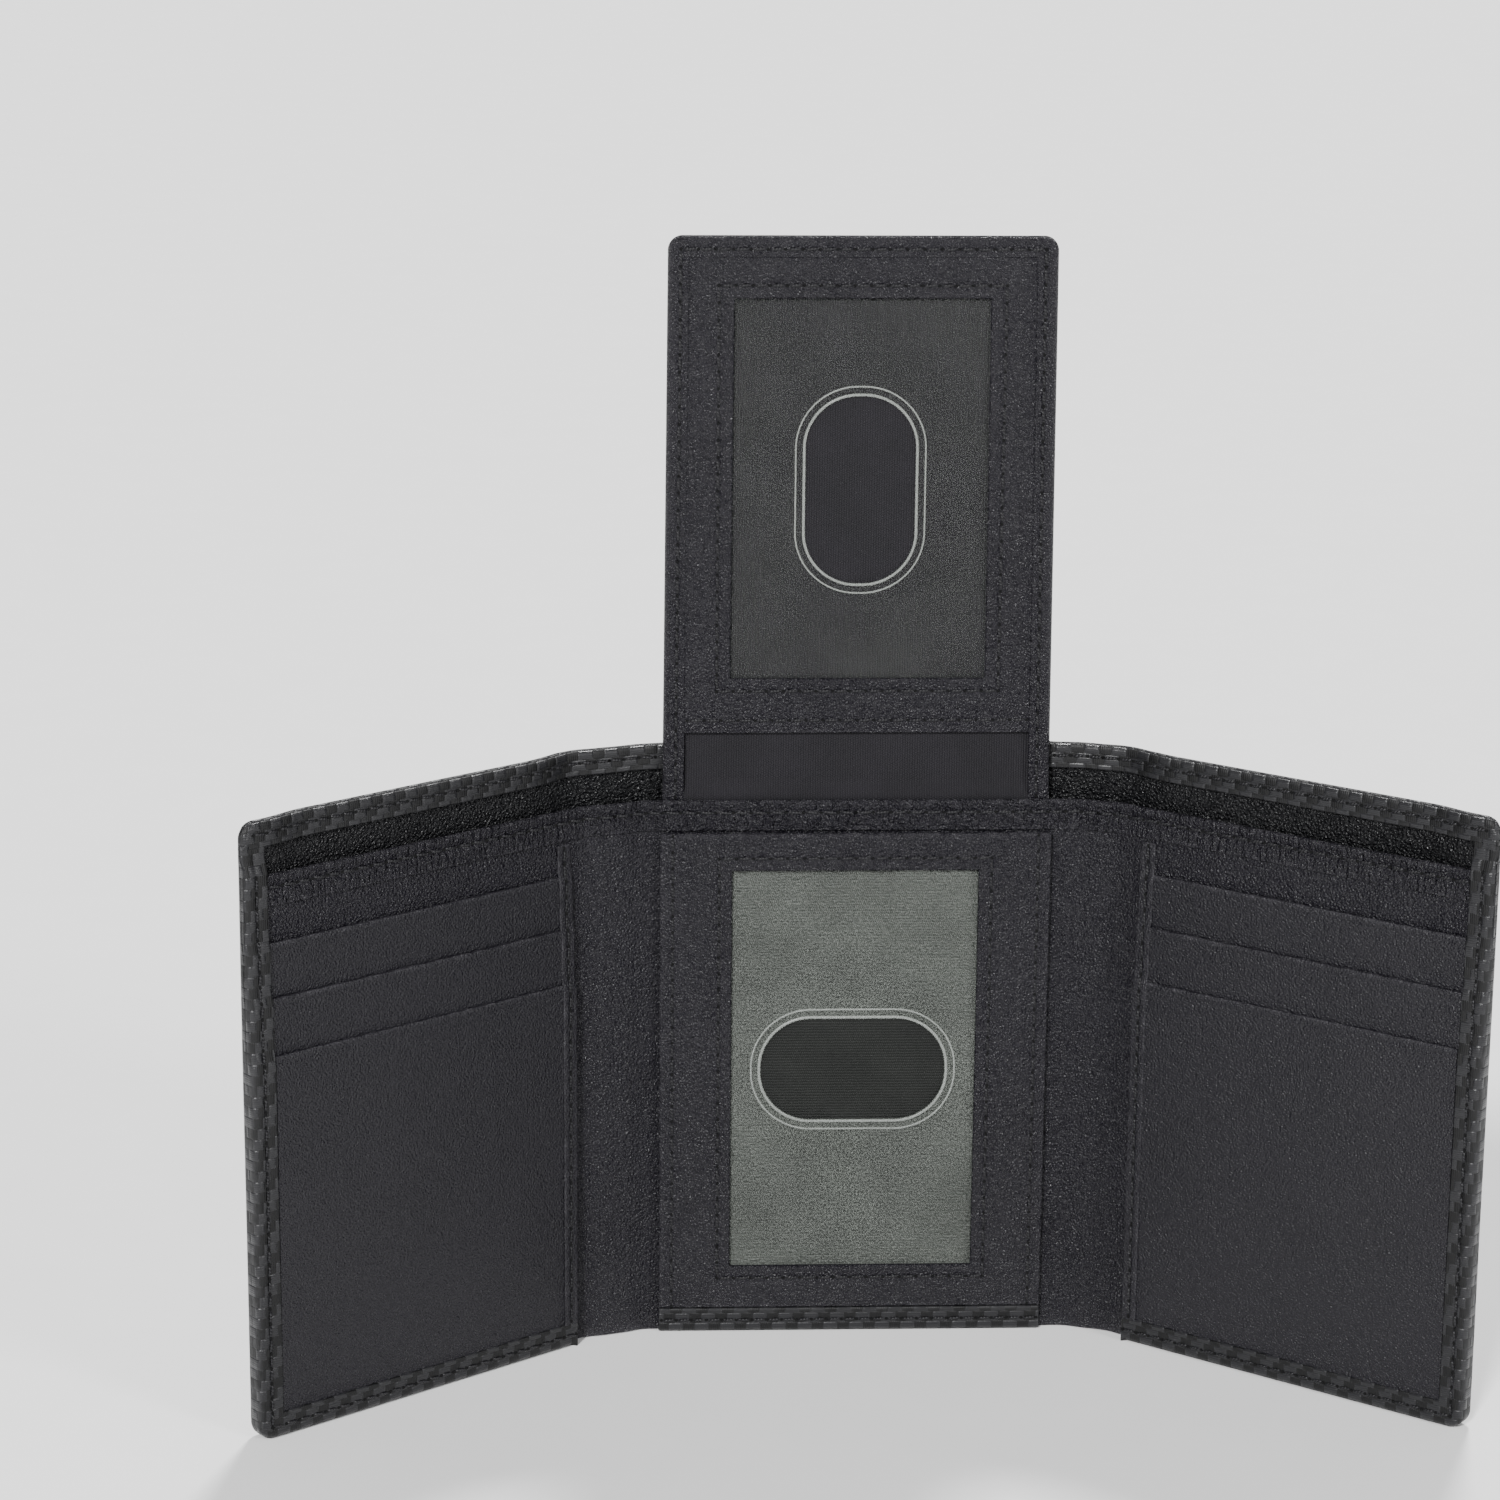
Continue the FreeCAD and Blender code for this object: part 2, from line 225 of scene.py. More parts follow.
def binding_face(z):
    """Front of the strip that binds the slots' inner edge."""
    return WING_FRONT + 0.56 * (len(LIPS) - slots_under(z))


def rim(inset, radius):
    """How far a face drops within a rounded rim."""
    reach = np.clip(radius - inset, 0, radius)
    return radius - np.sqrt(np.maximum(radius * radius - reach * reach, 0))


def groove(distance, depth=0.1, width=0.55):
    """The line that a row of stitches presses into leather."""
    return depth * np.exp(-np.square(distance / width) * 2)


# ---------------------------------------------------------------- meshes
def grid_lines(low, high, step, low_rim=0.0, high_rim=0.0, marks=()):
    """Grid lines: close together in rounded rims and at marks, even between them."""
    turns = 1 - np.cos(np.radians(np.linspace(0, 90, 6)))
    count = max(2, int(round((high - low) / step)) + 1)
    even = np.linspace(low, high, count)
    even = even[(even > low + low_rim) & (even < high - high_rim)]
    near = [np.array([mark - 0.5, mark - 0.2, mark, mark + 0.2, mark + 0.5]) for mark in marks]
    lines = np.concatenate([[low, high], low + low_rim * turns, high - high_rim * turns, even, *near])
    return np.unique(np.round(lines[(lines >= low) & (lines <= high)], 3))


def to_disc(u, z, corner_u, corner_z, radius):
    """Moves the grid points of a square corner onto a quarter disc."""
    a = (u - corner_u) / radius
    b = (z - corner_z) / radius
    pull_u = np.sqrt(np.maximum(1 - b * b / 2, 0))
    pull_z = np.sqrt(np.maximum(1 - a * a / 2, 0))
    return corner_u + radius * a * pull_u, corner_z + radius * b * pull_z


class Outline:
    """A rectangle in the layout.  Its real edges are the named ones, and its corners may be round."""

    def __init__(self, u, z, edges, round_corners=(), radius=CORNER):
        self.u, self.z, self.edges = u, z, edges
        self.round_corners, self.radius = round_corners, radius

    def distances(self, u, z):
        far = np.full(u.shape, 1e3)
        found = {"inner": u - self.u[0], "outer": self.u[1] - u, "low": z - self.z[0], "top": self.z[1] - z}
        return {name: found[name] if name in self.edges else far for name in found}

    def shape(self, u, z):
        for sideways, upright in self.round_corners:
            corner_u = self.u[1] - self.radius if sideways == "outer" else self.u[0] + self.radius
            corner_z = self.z[1] - self.radius if upright == "top" else self.z[0] + self.radius
            across = u >= corner_u if sideways == "outer" else u <= corner_u
            along = z >= corner_z if upright == "top" else z <= corner_z
            inside = across & along
            new_u, new_z = to_disc(u, z, corner_u, corner_z, self.radius)
            u, z = np.where(inside, new_u, u), np.where(inside, new_z, z)
        return u, z

    def inset(self, u, z):
        """Distance inside the nearest real edge, and the outward direction there."""
        found = self.distances(u, z)
        across = np.minimum(found["inner"], found["outer"])
        along = np.minimum(found["low"], found["top"])
        out_u = np.where(found["outer"] < found["inner"], 1.0, -1.0)
        out_z = np.where(found["top"] < found["low"], 1.0, -1.0)
        sideways = across < along
        inset = np.where(sideways, across, along)
        direction = np.stack([np.where(sideways, out_u, 0.0), np.where(sideways, 0.0, out_z)], -1)
        for name_u, name_z in self.round_corners:
            reach_u = self.radius - found[name_u]
            reach_z = self.radius - found[name_z]
            corner = (reach_u > 0) & (reach_z > 0)
            reach = np.hypot(reach_u, reach_z) + 1e-9
            inset = np.where(corner, self.radius - reach, inset)
            radial = np.stack([out_u * reach_u / reach, out_z * reach_z / reach], -1)
            direction = np.where(corner[..., None], radial, direction)
        return np.maximum(inset, 0), direction


def leaf(outline, u_lines, z_lines, surfaces, keep=None):
    """A closed thin piece over a grid: surfaces() gives its front, its back and its show face's depth."""
    u, z = np.meshgrid(u_lines, z_lines)
    u, z = outline.shape(u, z)
    inset, direction = outline.inset(u, z)
    front, back, face = surfaces(u, z, inset)
    count = u.size
    index = np.arange(count).reshape(u.shape)
    cells = np.stack([index[:-1, :-1], index[:-1, 1:], index[1:, 1:], index[1:, :-1]], -1).reshape(-1, 4)
    if keep is not None:
        middle_u, middle_z = u.ravel()[cells].mean(1), z.ravel()[cells].mean(1)
        cells = cells[keep(middle_u, middle_z)]
    starts = cells.ravel()
    ends = np.roll(cells, -1, 1).ravel()
    inner = np.isin(starts * count + ends, ends * count + starts)
    starts, ends = starts[~inner], ends[~inner]
    walls = np.stack([ends, starts, starts + count, ends + count], -1)
    faces = np.concatenate([cells, cells[:, ::-1] + count, walls])
    points = np.concatenate([
        np.stack([u, front, z], -1).reshape(-1, 3),
        np.stack([u, back, z], -1).reshape(-1, 3),
    ])
    near = (inset < 1.6)[..., None]
    uv = [
        (np.stack([u, z], -1) + near * direction * np.abs(depth - face)[..., None]).reshape(-1, 2)
        for depth in (front, back)
    ]
    edge = np.tile(np.clip(1 - inset / 1.1, 0, 1).ravel(), 2)
    return points, faces, np.concatenate(uv), edge


def ray_lengths(angles, half_u, half_z, radius):
    """Distance from the middle to a rounded rectangle along each angle."""
    low, high = np.zeros(len(angles)), np.full(len(angles), 1e3)
    for _ in range(50):
        reach = (low + high) / 2
        over_u = np.abs(reach * np.cos(angles)) - half_u + radius
        over_z = np.abs(reach * np.sin(angles)) - half_z + radius
        outside = np.hypot(np.maximum(over_u, 0), np.maximum(over_z, 0)) - radius
        outside += np.minimum(np.maximum(over_u, over_z), 0)
        low, high = np.where(outside < 0, reach, low), np.where(outside < 0, high, reach)
    return low


WELD_OFFSETS = (0.0, 0.08, 0.2, 0.34, 0.48, 0.62, 0.9, 1.4, 1.62, 1.74, 1.86, 1.98, 2.2, 3.0)
WELDED_LOOPS = (2, 3, 4, 9, 10)


def window_ring(middle_z, slot, plate, depths, seed):
    """Clear vinyl with a thumb slot that has a raised welded line round it, and a second one outside."""
    half_u, half_z, radius = slot
    corner = math.atan2(plate[1], plate[0])
    corners = [corner, math.pi - corner, math.pi + corner, 2 * math.pi - corner]
    angles = np.unique(np.concatenate([np.linspace(0, 2 * math.pi, 180, endpoint=False), corners]))
    loops = []
    for offset in WELD_OFFSETS:
        reach = ray_lengths(angles, half_u + offset, half_z + offset, radius + offset)
        lift = 0.2 * math.exp(-((offset - 0.3) / 0.2) ** 2) + 0.16 * math.exp(-((offset - 1.8) / 0.16) ** 2)
        if offset == 0.0:
            lift = -0.04
        loops.append((reach, np.full(len(angles), lift)))
    outer = ray_lengths(angles, plate[0], plate[1], 0.01)
    beyond_welds = loops[-1][0]
    for share in np.linspace(0.12, 1, 14):
        reach = beyond_welds + (outer - beyond_welds) * share
        sag = 0.07 * np.sin(reach * np.cos(angles) / 6 + seed) * np.sin(reach * np.sin(angles) / 9 + seed)
        loops.append((reach, sag * (1 - share)))
    rows = []
    for reach, lift in loops:
        u = reach * np.cos(angles)
        z = middle_z + reach * np.sin(angles)
        rows.append(np.stack([u, depths[0] - lift, z], -1))
    front = np.concatenate(rows)
    back = front.copy()
    back[:, 1] = np.maximum(front[:, 1] + 0.12, depths[1])
    count, around = len(front), len(angles)
    faces = []
    for ring in range(len(loops) - 1):
        for step in range(around):
            after = (step + 1) % around
            a, b = ring * around + step, ring * around + after
            quad = (a, a + around, b + around, b)
            faces.append(quad)
            faces.append(tuple(i + count for i in reversed(quad)))
    last = (len(loops) - 1) * around
    for step in range(around):
        after = (step + 1) % around
        faces.append((step, after, after + count, step + count))
        faces.append((last + after, last + step, last + step + count, last + after + count))
    points = np.concatenate([front, back])
    welded = [1.0 if index in WELDED_LOOPS else 0.0 for index in range(len(loops))]
    edge = np.tile(np.repeat(welded, around), 2)
    return points, np.array(faces), points[:, [0, 2]].copy(), edge


STITCH_RINGS = np.linspace(-1, 1, 9)
STITCH_TURNS = np.linspace(0, 2 * math.pi, 8, endpoint=False)
HOLE_STEPS = 8
HOLE_LONG, HOLE_WIDE, HOLE_RISE = 0.34, 0.27, 0.1
HOLE_SUNK = np.array([-0.03] + [-0.02] * HOLE_STEPS)


def stitches(rows, face, facing, pitch, wide=0.24):
    """Rows of single stitches: each leans a little, swells in the middle and dips into its needle holes."""
    points, faces, uv, holes = [], [], [], []
    template = []
    for ring in range(len(STITCH_RINGS) - 1):
        for step in range(len(STITCH_TURNS)):
            after = (step + 1) % len(STITCH_TURNS)
            low, high = ring * len(STITCH_TURNS), (ring + 1) * len(STITCH_TURNS)
            template.append((low + step, high + step, high + after, low + after))
    template = np.array(template)
    caps = np.arange(len(STITCH_TURNS))
    last = (len(STITCH_RINGS) - 1) * len(STITCH_TURNS)
    total = 0
    cap_faces = []
    for (start, end) in rows:
        start, end = np.array(start, float), np.array(end, float)
        length = np.hypot(*(end - start))
        count = max(1, int(round(length / pitch)))
        along = (end - start) / length
        across = np.array([-along[1], along[0]])
        for number in range(count):
            middle = start + (end - start) * (number + 0.5) / count
            wander = math.sin(number * 2.4 + start[0] + start[1])
            lean = 0.13 + 0.05 * wander
            t, turn = np.meshgrid(STITCH_RINGS, STITCH_TURNS, indexing="ij")
            half = length / count * (0.40 + 0.012 * wander)
            swell = np.sqrt(np.maximum(1 - t ** 4 * 0.82, 0.05))
            sideways = lean * t * 0.8 + wide * swell * np.cos(turn)
            place = middle + along * (t * half)[..., None] + across * sideways[..., None]
            lift = 0.13 - 0.3 * t ** 4 + 0.15 * swell * np.sin(turn)
            depth = face(place[..., 0], place[..., 1]) + facing * lift
            points.append(np.stack([place[..., 0], depth, place[..., 1]], -1).reshape(-1, 3))
            uv.append(np.stack([t * half + number * pitch, turn / (2 * math.pi)], -1).reshape(-1, 2))
            faces.append(template + total)
            cap_faces.append(tuple(caps + total))
            cap_faces.append(tuple(caps[::-1] + last + total))
            total += t.size
            holes.append(np.zeros(t.size))
        # Needle holes: small discs just proud of the face, which the thread finish paints near black as
        # painted shade in the holes.
        for number in range(count + 1):
            middle = start + (end - start) * number / count
            ring = np.linspace(0, 2 * math.pi, HOLE_STEPS + 1)[:HOLE_STEPS]
            place = middle + along * (HOLE_LONG * np.cos(ring))[:, None]
            place = place + across * (HOLE_WIDE * np.sin(ring))[:, None]
            place = np.concatenate([[middle], place])
            depth = face(place[:, 0], place[:, 1])
            for shift in (HOLE_RISE, 0.0):
                points.append(np.stack([place[:, 0], depth + facing * (HOLE_SUNK + shift), place[:, 1]], -1))
                uv.append(place)
                holes.append(np.ones(HOLE_STEPS + 1))
            below = total + HOLE_STEPS + 1
            for step in range(HOLE_STEPS):
                here, after = 1 + step, 1 + (step + 1) % HOLE_STEPS
                cap_faces.append((total, total + here, total + after))
                cap_faces.append((below, below + after, below + here))
                cap_faces.append((total + after, total + here, below + here, below + after))
            total += 2 * (HOLE_STEPS + 1)
    quads = [tuple(quad) for quad in np.concatenate(faces)]
    if facing > 0:
        quads = [quad[::-1] for quad in quads]
        cap_faces = [cap[::-1] for cap in cap_faces]
    points = np.concatenate(points)
    return points, quads + cap_faces, np.concatenate(uv), np.concatenate(holes)


def piece(name, made, side=None, layer=None, standing=False, sharp=48):
    """Makes the object: folded for a side, upright in the frame for the flap, or flat on the centre."""
    points, faces, uv, edge = made
    points, uv = points.copy(), uv.copy()
    faces = [tuple(int(i) for i in face) for face in faces]
    if side is not None:
        x, y = fold(side, layer, points[:, 0], points[:, 1])
        points[:, 0], points[:, 1] = x, y
        uv[:, 0] *= MIRROR[side]
    elif not standing:
        points[:, 1] += FOLD_Y
    if side == "left":
        faces = [face[::-1] for face in faces]
    used = np.unique(np.concatenate([np.array(face) for face in faces]))
    renumber = np.full(len(points), -1)
    renumber[used] = np.arange(len(used))
    points, uv, edge = points[used], uv[used], edge[used]
    faces = [tuple(renumber[list(face)].tolist()) for face in faces]
    mesh = bpy.data.meshes.new(name)
    mesh.from_pydata((points * MM).tolist(), [], faces)
    corner_vertex = np.zeros(len(mesh.loops), int)
    mesh.loops.foreach_get("vertex_index", corner_vertex)
    mesh.uv_layers.new(name="layout").data.foreach_set("uv", uv[corner_vertex].ravel())
    mesh.attributes.new("edge", "FLOAT", "POINT").data.foreach_set("value", edge)
    mesh.polygons.foreach_set("use_smooth", [True] * len(mesh.polygons))
    mesh.set_sharp_from_angle(angle=math.radians(sharp))
    made_object = bpy.data.objects.new(name, mesh)
    bpy.context.scene.collection.objects.link(made_object)
    return made_object


def attach(made_object, finish, stands_for=(), body=None, across=None):
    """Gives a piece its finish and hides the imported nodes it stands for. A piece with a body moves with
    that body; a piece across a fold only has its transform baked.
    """
    made_object.data.materials.append(FINISHES[finish][0])
    if across is None:
        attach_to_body(made_object, body)
    else:
        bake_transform(made_object)
    if stands_for:
        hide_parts(*stands_for)
    return made_object


# ---------------------------------------------------------------- node tools
class Tree:
    """Short calls that add and link nodes of one tree."""

    def __init__(self, tree):
        self.tree = tree

    def add(self, kind, inputs=None, **settings):
        made = self.tree.nodes.new(kind)
        for name, value in settings.items():
            setattr(made, name, value)
        for name, value in (inputs or {}).items():
            self.set(made.inputs[name], value)
        return made

    def set(self, socket, value):
        if isinstance(value, bpy.types.NodeSocket):
            self.tree.links.new(value, socket)
        else:
            socket.default_value = value

    def math(self, operation, first, second=0.0, third=0.0, clamp=False):
        inputs = {0: first, 1: second, 2: third}
        return self.add("ShaderNodeMath", inputs, operation=operation, use_clamp=clamp).outputs[0]

    def mix(self, share, first, second):
        made = self.add("ShaderNodeMix", {0: share}, data_type="RGBA")
        for index, colour in ((6, first), (7, second)):
            value = colour if isinstance(colour, bpy.types.NodeSocket) else (*colour, 1.0)
            self.set(made.inputs[index], value)
        return made.outputs[2]

    def blend(self, share, first, second):
        inputs = {0: share, 2: first, 3: second}
        return self.add("ShaderNodeMix", inputs, data_type="FLOAT").outputs[0]

    def range(self, value, low, high, new_low=0.0, new_high=1.0):
        inputs = {0: value, 1: low, 2: high, 3: new_low, 4: new_high}
        made = self.add("ShaderNodeMapRange", inputs, interpolation_type="SMOOTHSTEP")
        return made.outputs[0]

    def scaled(self, vector, scale):
        inputs = {0: vector, 1: scale}
        return self.add("ShaderNodeVectorMath", inputs, operation="MULTIPLY").outputs[0]

    def noise(self, vector, scale, detail=2.0, roughness=0.5):
        inputs = {"Vector": vector, "Scale": scale, "Detail": detail, "Roughness": roughness}
        return self.add("ShaderNodeTexNoise", inputs).outputs[0]


def new_group(name, inputs, outputs):
    """An effect with named sockets, which materials share."""
    group = bpy.data.node_groups.new(name, "ShaderNodeTree")
    for socket, (kind, default) in inputs.items():
        made = group.interface.new_socket(socket, in_out="INPUT", socket_type=f"NodeSocket{kind}")
        if default is not None:
            made.default_value = default
    for socket in outputs:
        group.interface.new_socket(socket, in_out="OUTPUT", socket_type="NodeSocketFloat")
    tree = Tree(group)
    return group, tree, tree.add("NodeGroupInput").outputs, tree.add("NodeGroupOutput")


def pebble_grain():
    """Leather grain: rounded pebbles of a given size with creases between, broken by fine pores."""
    group, tree, given, result = new_group(
        "pebble grain",
        {"Place": ("Vector", None), "Pebble": ("Float", 0.6), "Crease": ("Float", 0.6)},
        ("Height", "Creases"),
    )
    bent = tree.add(
        "ShaderNodeTexNoise", {"Vector": given["Place"], "Scale": 1.1, "Detail": 3.0}
    ).outputs["Color"]
    shifted = tree.add(
        "ShaderNodeVectorMath", {0: bent, 1: (0.4, 0.4, 0.4), 2: given["Place"]}, operation="MULTIPLY_ADD"
    ).outputs[0]
    scale = tree.math("DIVIDE", 1.0, given["Pebble"])
    edges = tree.add(
        "ShaderNodeTexVoronoi", {"Vector": shifted, "Scale": scale}, feature="DISTANCE_TO_EDGE"
    ).outputs["Distance"]
    domes = tree.add(
        "ShaderNodeTexVoronoi", {"Vector": shifted, "Scale": scale, "Smoothness": 0.4}, feature="SMOOTH_F1"
    ).outputs["Distance"]
    crease = tree.range(edges, 0.0, 0.13, 1.0, 0.0)
    dome = tree.math("SUBTRACT", 1.0, tree.math("MULTIPLY", domes, 1.3))
    pebbles = tree.noise(given["Place"], tree.math("MULTIPLY", scale, 1.15), 2.0, 0.55)
    height = tree.math("MULTIPLY_ADD", crease, tree.math("MULTIPLY", given["Crease"], -0.35), dome)
    height = tree.math("MULTIPLY_ADD", pebbles, 1.9, height)
    tree.set(result.inputs["Height"], height)
    tree.set(result.inputs["Creases"], crease)
    return group


def carbon_twill():
    """Embossed two-and-two twill: each row of long floats steps sideways, ribbed along its fibres."""
    group, tree, given, result = new_group(
        "carbon twill",
        {
            "Place": ("Vector", None),
            "Repeat": ("Float", 4.7),
            "Row": ("Float", 1.9),
            "Step": ("Float", 1.2),
            "Fibre": ("Float", 0.38),
        },
        ("Height", "Across", "Fibres"),
    )
    parts = tree.add("ShaderNodeSeparateXYZ", {0: given["Place"]}).outputs
    rows = tree.math("DIVIDE", parts[1], given["Row"])
    row = tree.math("FLOOR", rows)
    in_row = tree.math("FRACT", rows)
    moved = tree.math("SUBTRACT", parts[0], tree.math("MULTIPLY", row, given["Step"]))
    phase = tree.math("FRACT", tree.math("DIVIDE", moved, given["Repeat"]))
    across = tree.math("LESS_THAN", phase, 0.55)
    in_float = tree.math("DIVIDE", phase, 0.55)
    in_gap = tree.math("DIVIDE", tree.math("SUBTRACT", phase, 0.55), 0.45)

    def pillow(share, power):
        from_middle = tree.math("ABSOLUTE", tree.math("MULTIPLY_ADD", share, 2.0, -1.0))
        return tree.math("SUBTRACT", 1.0, tree.math("POWER", from_middle, power))

    def fibres(value):
        turns = tree.math("MULTIPLY", tree.math("DIVIDE", value, given["Fibre"]), 2 * math.pi)
        return tree.math("MULTIPLY_ADD", tree.math("SINE", turns), 0.5, 0.5)

    long_way = tree.math("MULTIPLY", pillow(in_row, 3.0), pillow(in_float, 6.0))
    short_way = tree.math("MULTIPLY", pillow(in_gap, 2.4), pillow(in_row, 8.0))
    along = fibres(parts[1])
    upright = fibres(parts[0])
    ribs = tree.blend(across, upright, along)
    height = tree.blend(across, tree.math("MULTIPLY", short_way, 0.55), long_way)
    height = tree.math("MULTIPLY_ADD", ribs, 0.16, height)
    tree.set(result.inputs["Height"], height)
    tree.set(result.inputs["Across"], across)
    tree.set(result.inputs["Fibres"], ribs)
    return group


def rib_weave():
    """Lining cloth: fine ribs with threads crossing them."""
    group, tree, given, result = new_group(
        "rib weave",
        {"Place": ("Vector", None), "Rib": ("Float", 0.42), "Thread": ("Float", 0.3)},
        ("Height", "Gaps"),
    )
    parts = tree.add("ShaderNodeSeparateXYZ", {0: given["Place"]}).outputs
    slow = tree.noise(given["Place"], 0.9, 3.0)
    rib_turn = tree.math("DIVIDE", parts[1], given["Rib"])
    rib_turn = tree.math("MULTIPLY_ADD", slow, 0.5, rib_turn)
    row = tree.math("FLOOR", rib_turn)
    rib = tree.math("ABSOLUTE", tree.math("SINE", tree.math("MULTIPLY", rib_turn, math.pi)))
    thread_turn = tree.math("DIVIDE", parts[0], given["Thread"])
    thread_turn = tree.math("MULTIPLY_ADD", row, 0.5, thread_turn)
    thread = tree.math("ABSOLUTE", tree.math("SINE", tree.math("MULTIPLY", thread_turn, math.pi)))
    height = tree.math("MULTIPLY", tree.math("POWER", rib, 0.7), tree.math("MULTIPLY_ADD", thread, 0.6, 0.4))
    tree.set(result.inputs["Height"], height)
    tree.set(result.inputs["Gaps"], tree.range(height, 0.35, 0.0))
    return group


def edge_wear():
    """How much a folded edge is rubbed: strongest on the very edge, in patches."""
    group, tree, given, result = new_group(
        "edge wear",
        {"Place": ("Vector", None), "Edge": ("Float", 0.0), "Amount": ("Float", 0.6)},
        ("Rubbed",),
    )
    patches = tree.range(tree.noise(given["Place"], 0.35, 5.0, 0.65), 0.35, 0.7)
    rubbed = tree.math("MULTIPLY", tree.math("POWER", given["Edge"], 1.6), patches)
    tree.set(result.inputs["Rubbed"], tree.math("MULTIPLY", rubbed, given["Amount"], clamp=True))
    return group


def hand_marks():
    """Slow changes of tone and polish, and a little dust that gathers in creases."""
    group, tree, given, result = new_group(
        "hand marks",
        {"Place": ("Vector", None), "Size": ("Float", 22.0), "Creases": ("Float", 0.0)},
        ("Tone", "Dust"),
    )
    slow = tree.noise(given["Place"], tree.math("DIVIDE", 1.0, given["Size"]), 4.0, 0.6)
    specks = tree.range(tree.noise(given["Place"], 2.6, 2.0), 0.66, 0.8)
    dust = tree.math("MULTIPLY_ADD", given["Creases"], 0.25, specks)
    tree.set(result.inputs["Tone"], tree.range(slow, 0.3, 0.7))
    tree.set(result.inputs["Dust"], tree.math("MULTIPLY", dust, 0.5, clamp=True))
    return group


GROUPS = {make.__name__: make() for make in (pebble_grain, carbon_twill, rib_weave, edge_wear, hand_marks)}


class Finish(Tree):
    """A material in the making: the layout place in millimetres, the shader and the shared effects."""

    def __init__(self, name):
        self.material = bpy.data.materials.new(name)
        self.material.use_nodes = True
        super().__init__(self.material.node_tree)
        self.shader = next(node for node in self.tree.nodes if node.type == "BSDF_PRINCIPLED")
        self.place = self.add("ShaderNodeUVMap", uv_map="layout").outputs[0]
        self.edge = self.add("ShaderNodeAttribute", attribute_name="edge").outputs["Fac"]

    def effect(self, name, **inputs):
        made = self.add("ShaderNodeGroup", node_tree=GROUPS[name])
        self.set(made.inputs["Place"], self.place)
        for socket, value in inputs.items():
            self.set(made.inputs[socket], value)
        return made.outputs

    def bump(self, height, depth, strength=1.0, normal=None):
        inputs = {"Height": height, "Distance": depth * MM, "Strength": strength}
        if normal is not None:
            inputs["Normal"] = normal
        return self.add("ShaderNodeBump", inputs).outputs[0]

    def finish(self, **inputs):
        for name, value in inputs.items():
            self.set(self.shader.inputs[name.replace("_", " ")], value)
        return self.material


def embossed_leather():
    """Outer leather with the carbon-fibre twill pressed and printed into it."""
    finish = Finish("embossed_leather")
    twill = finish.effect("carbon_twill")
    grain = finish.effect("pebble_grain", Pebble=0.22, Crease=0.3)
    marks = finish.effect("hand_marks", Creases=finish.math("SUBTRACT", 1.0, twill["Height"], clamp=True))
    wear = finish.effect("edge_wear", Edge=finish.edge, Amount=0.8)
    cloth = finish.mix(twill["Across"], (0.0012, 0.0012, 0.0015), (0.0095, 0.0095, 0.0108))
    ribbed = finish.math("MULTIPLY", finish.math("MULTIPLY", twill["Fibres"], 0.5), twill["Across"])
    cloth = finish.mix(ribbed, cloth, (0.022, 0.022, 0.0245))
    cloth = finish.mix(finish.math("MULTIPLY", marks["Dust"], 0.2), cloth, (0.03, 0.03, 0.03))
    colour = finish.mix(wear["Rubbed"], cloth, (0.026, 0.026, 0.028))
    polish = finish.blend(twill["Across"], 0.46, 0.3)
    polish = finish.math("MULTIPLY_ADD", marks["Tone"], 0.1, polish)
    normal = finish.bump(twill["Height"], 0.16)
    normal = finish.bump(grain["Height"], 0.02, 0.6, normal)
    return finish.finish(
        Base_Color=colour, Roughness=polish, Normal=normal, Specular_IOR_Level=0.32
    )


def grained_leather(name, pebble, depth, tones, polish, pucker=0.0):
    """Inner leather, by its grain's size and depth, its dark and light tone, its polish and its pucker."""
    finish = Finish(name)
    grain = finish.effect("pebble_grain", Pebble=pebble, Crease=0.7)
    marks = finish.effect("hand_marks", Creases=grain["Creases"])
    wear = finish.effect("edge_wear", Edge=finish.edge, Amount=0.7)
    colour = finish.mix(marks["Tone"], *tones)
    # The creases between the pebbles are mixed towards near black: painted shade in the creases.
    colour = finish.mix(finish.math("MULTIPLY", grain["Creases"], 0.5), colour, (0.003, 0.003, 0.004))
    colour = finish.mix(finish.math("MULTIPLY", marks["Dust"], 0.1), colour, (0.07, 0.07, 0.07))
    colour = finish.mix(wear["Rubbed"], colour, (0.04, 0.038, 0.044))
    shine = finish.blend(marks["Tone"], polish, polish + 0.06)
    shine = finish.math("MULTIPLY_ADD", grain["Creases"], 0.2, shine)
    shine = finish.math("MULTIPLY_ADD", wear["Rubbed"], -0.12, shine, clamp=True)
    wrinkles = finish.noise(finish.scaled(finish.place, (0.35, 1.0, 1.0)), 0.55, 5.0, 0.6)
    normal = finish.bump(wrinkles, 0.25, 0.5)
    if pucker:
        gathers = finish.noise(finish.scaled(finish.place, (1.25, 0.3, 1.0)), 1.0, 2.0)
        normal = finish.bump(gathers, pucker, 1.0, normal)
    normal = finish.bump(grain["Height"], depth, 1.0, normal)
    return finish.finish(Base_Color=colour, Roughness=shine, Normal=normal, Specular_IOR_Level=0.34)


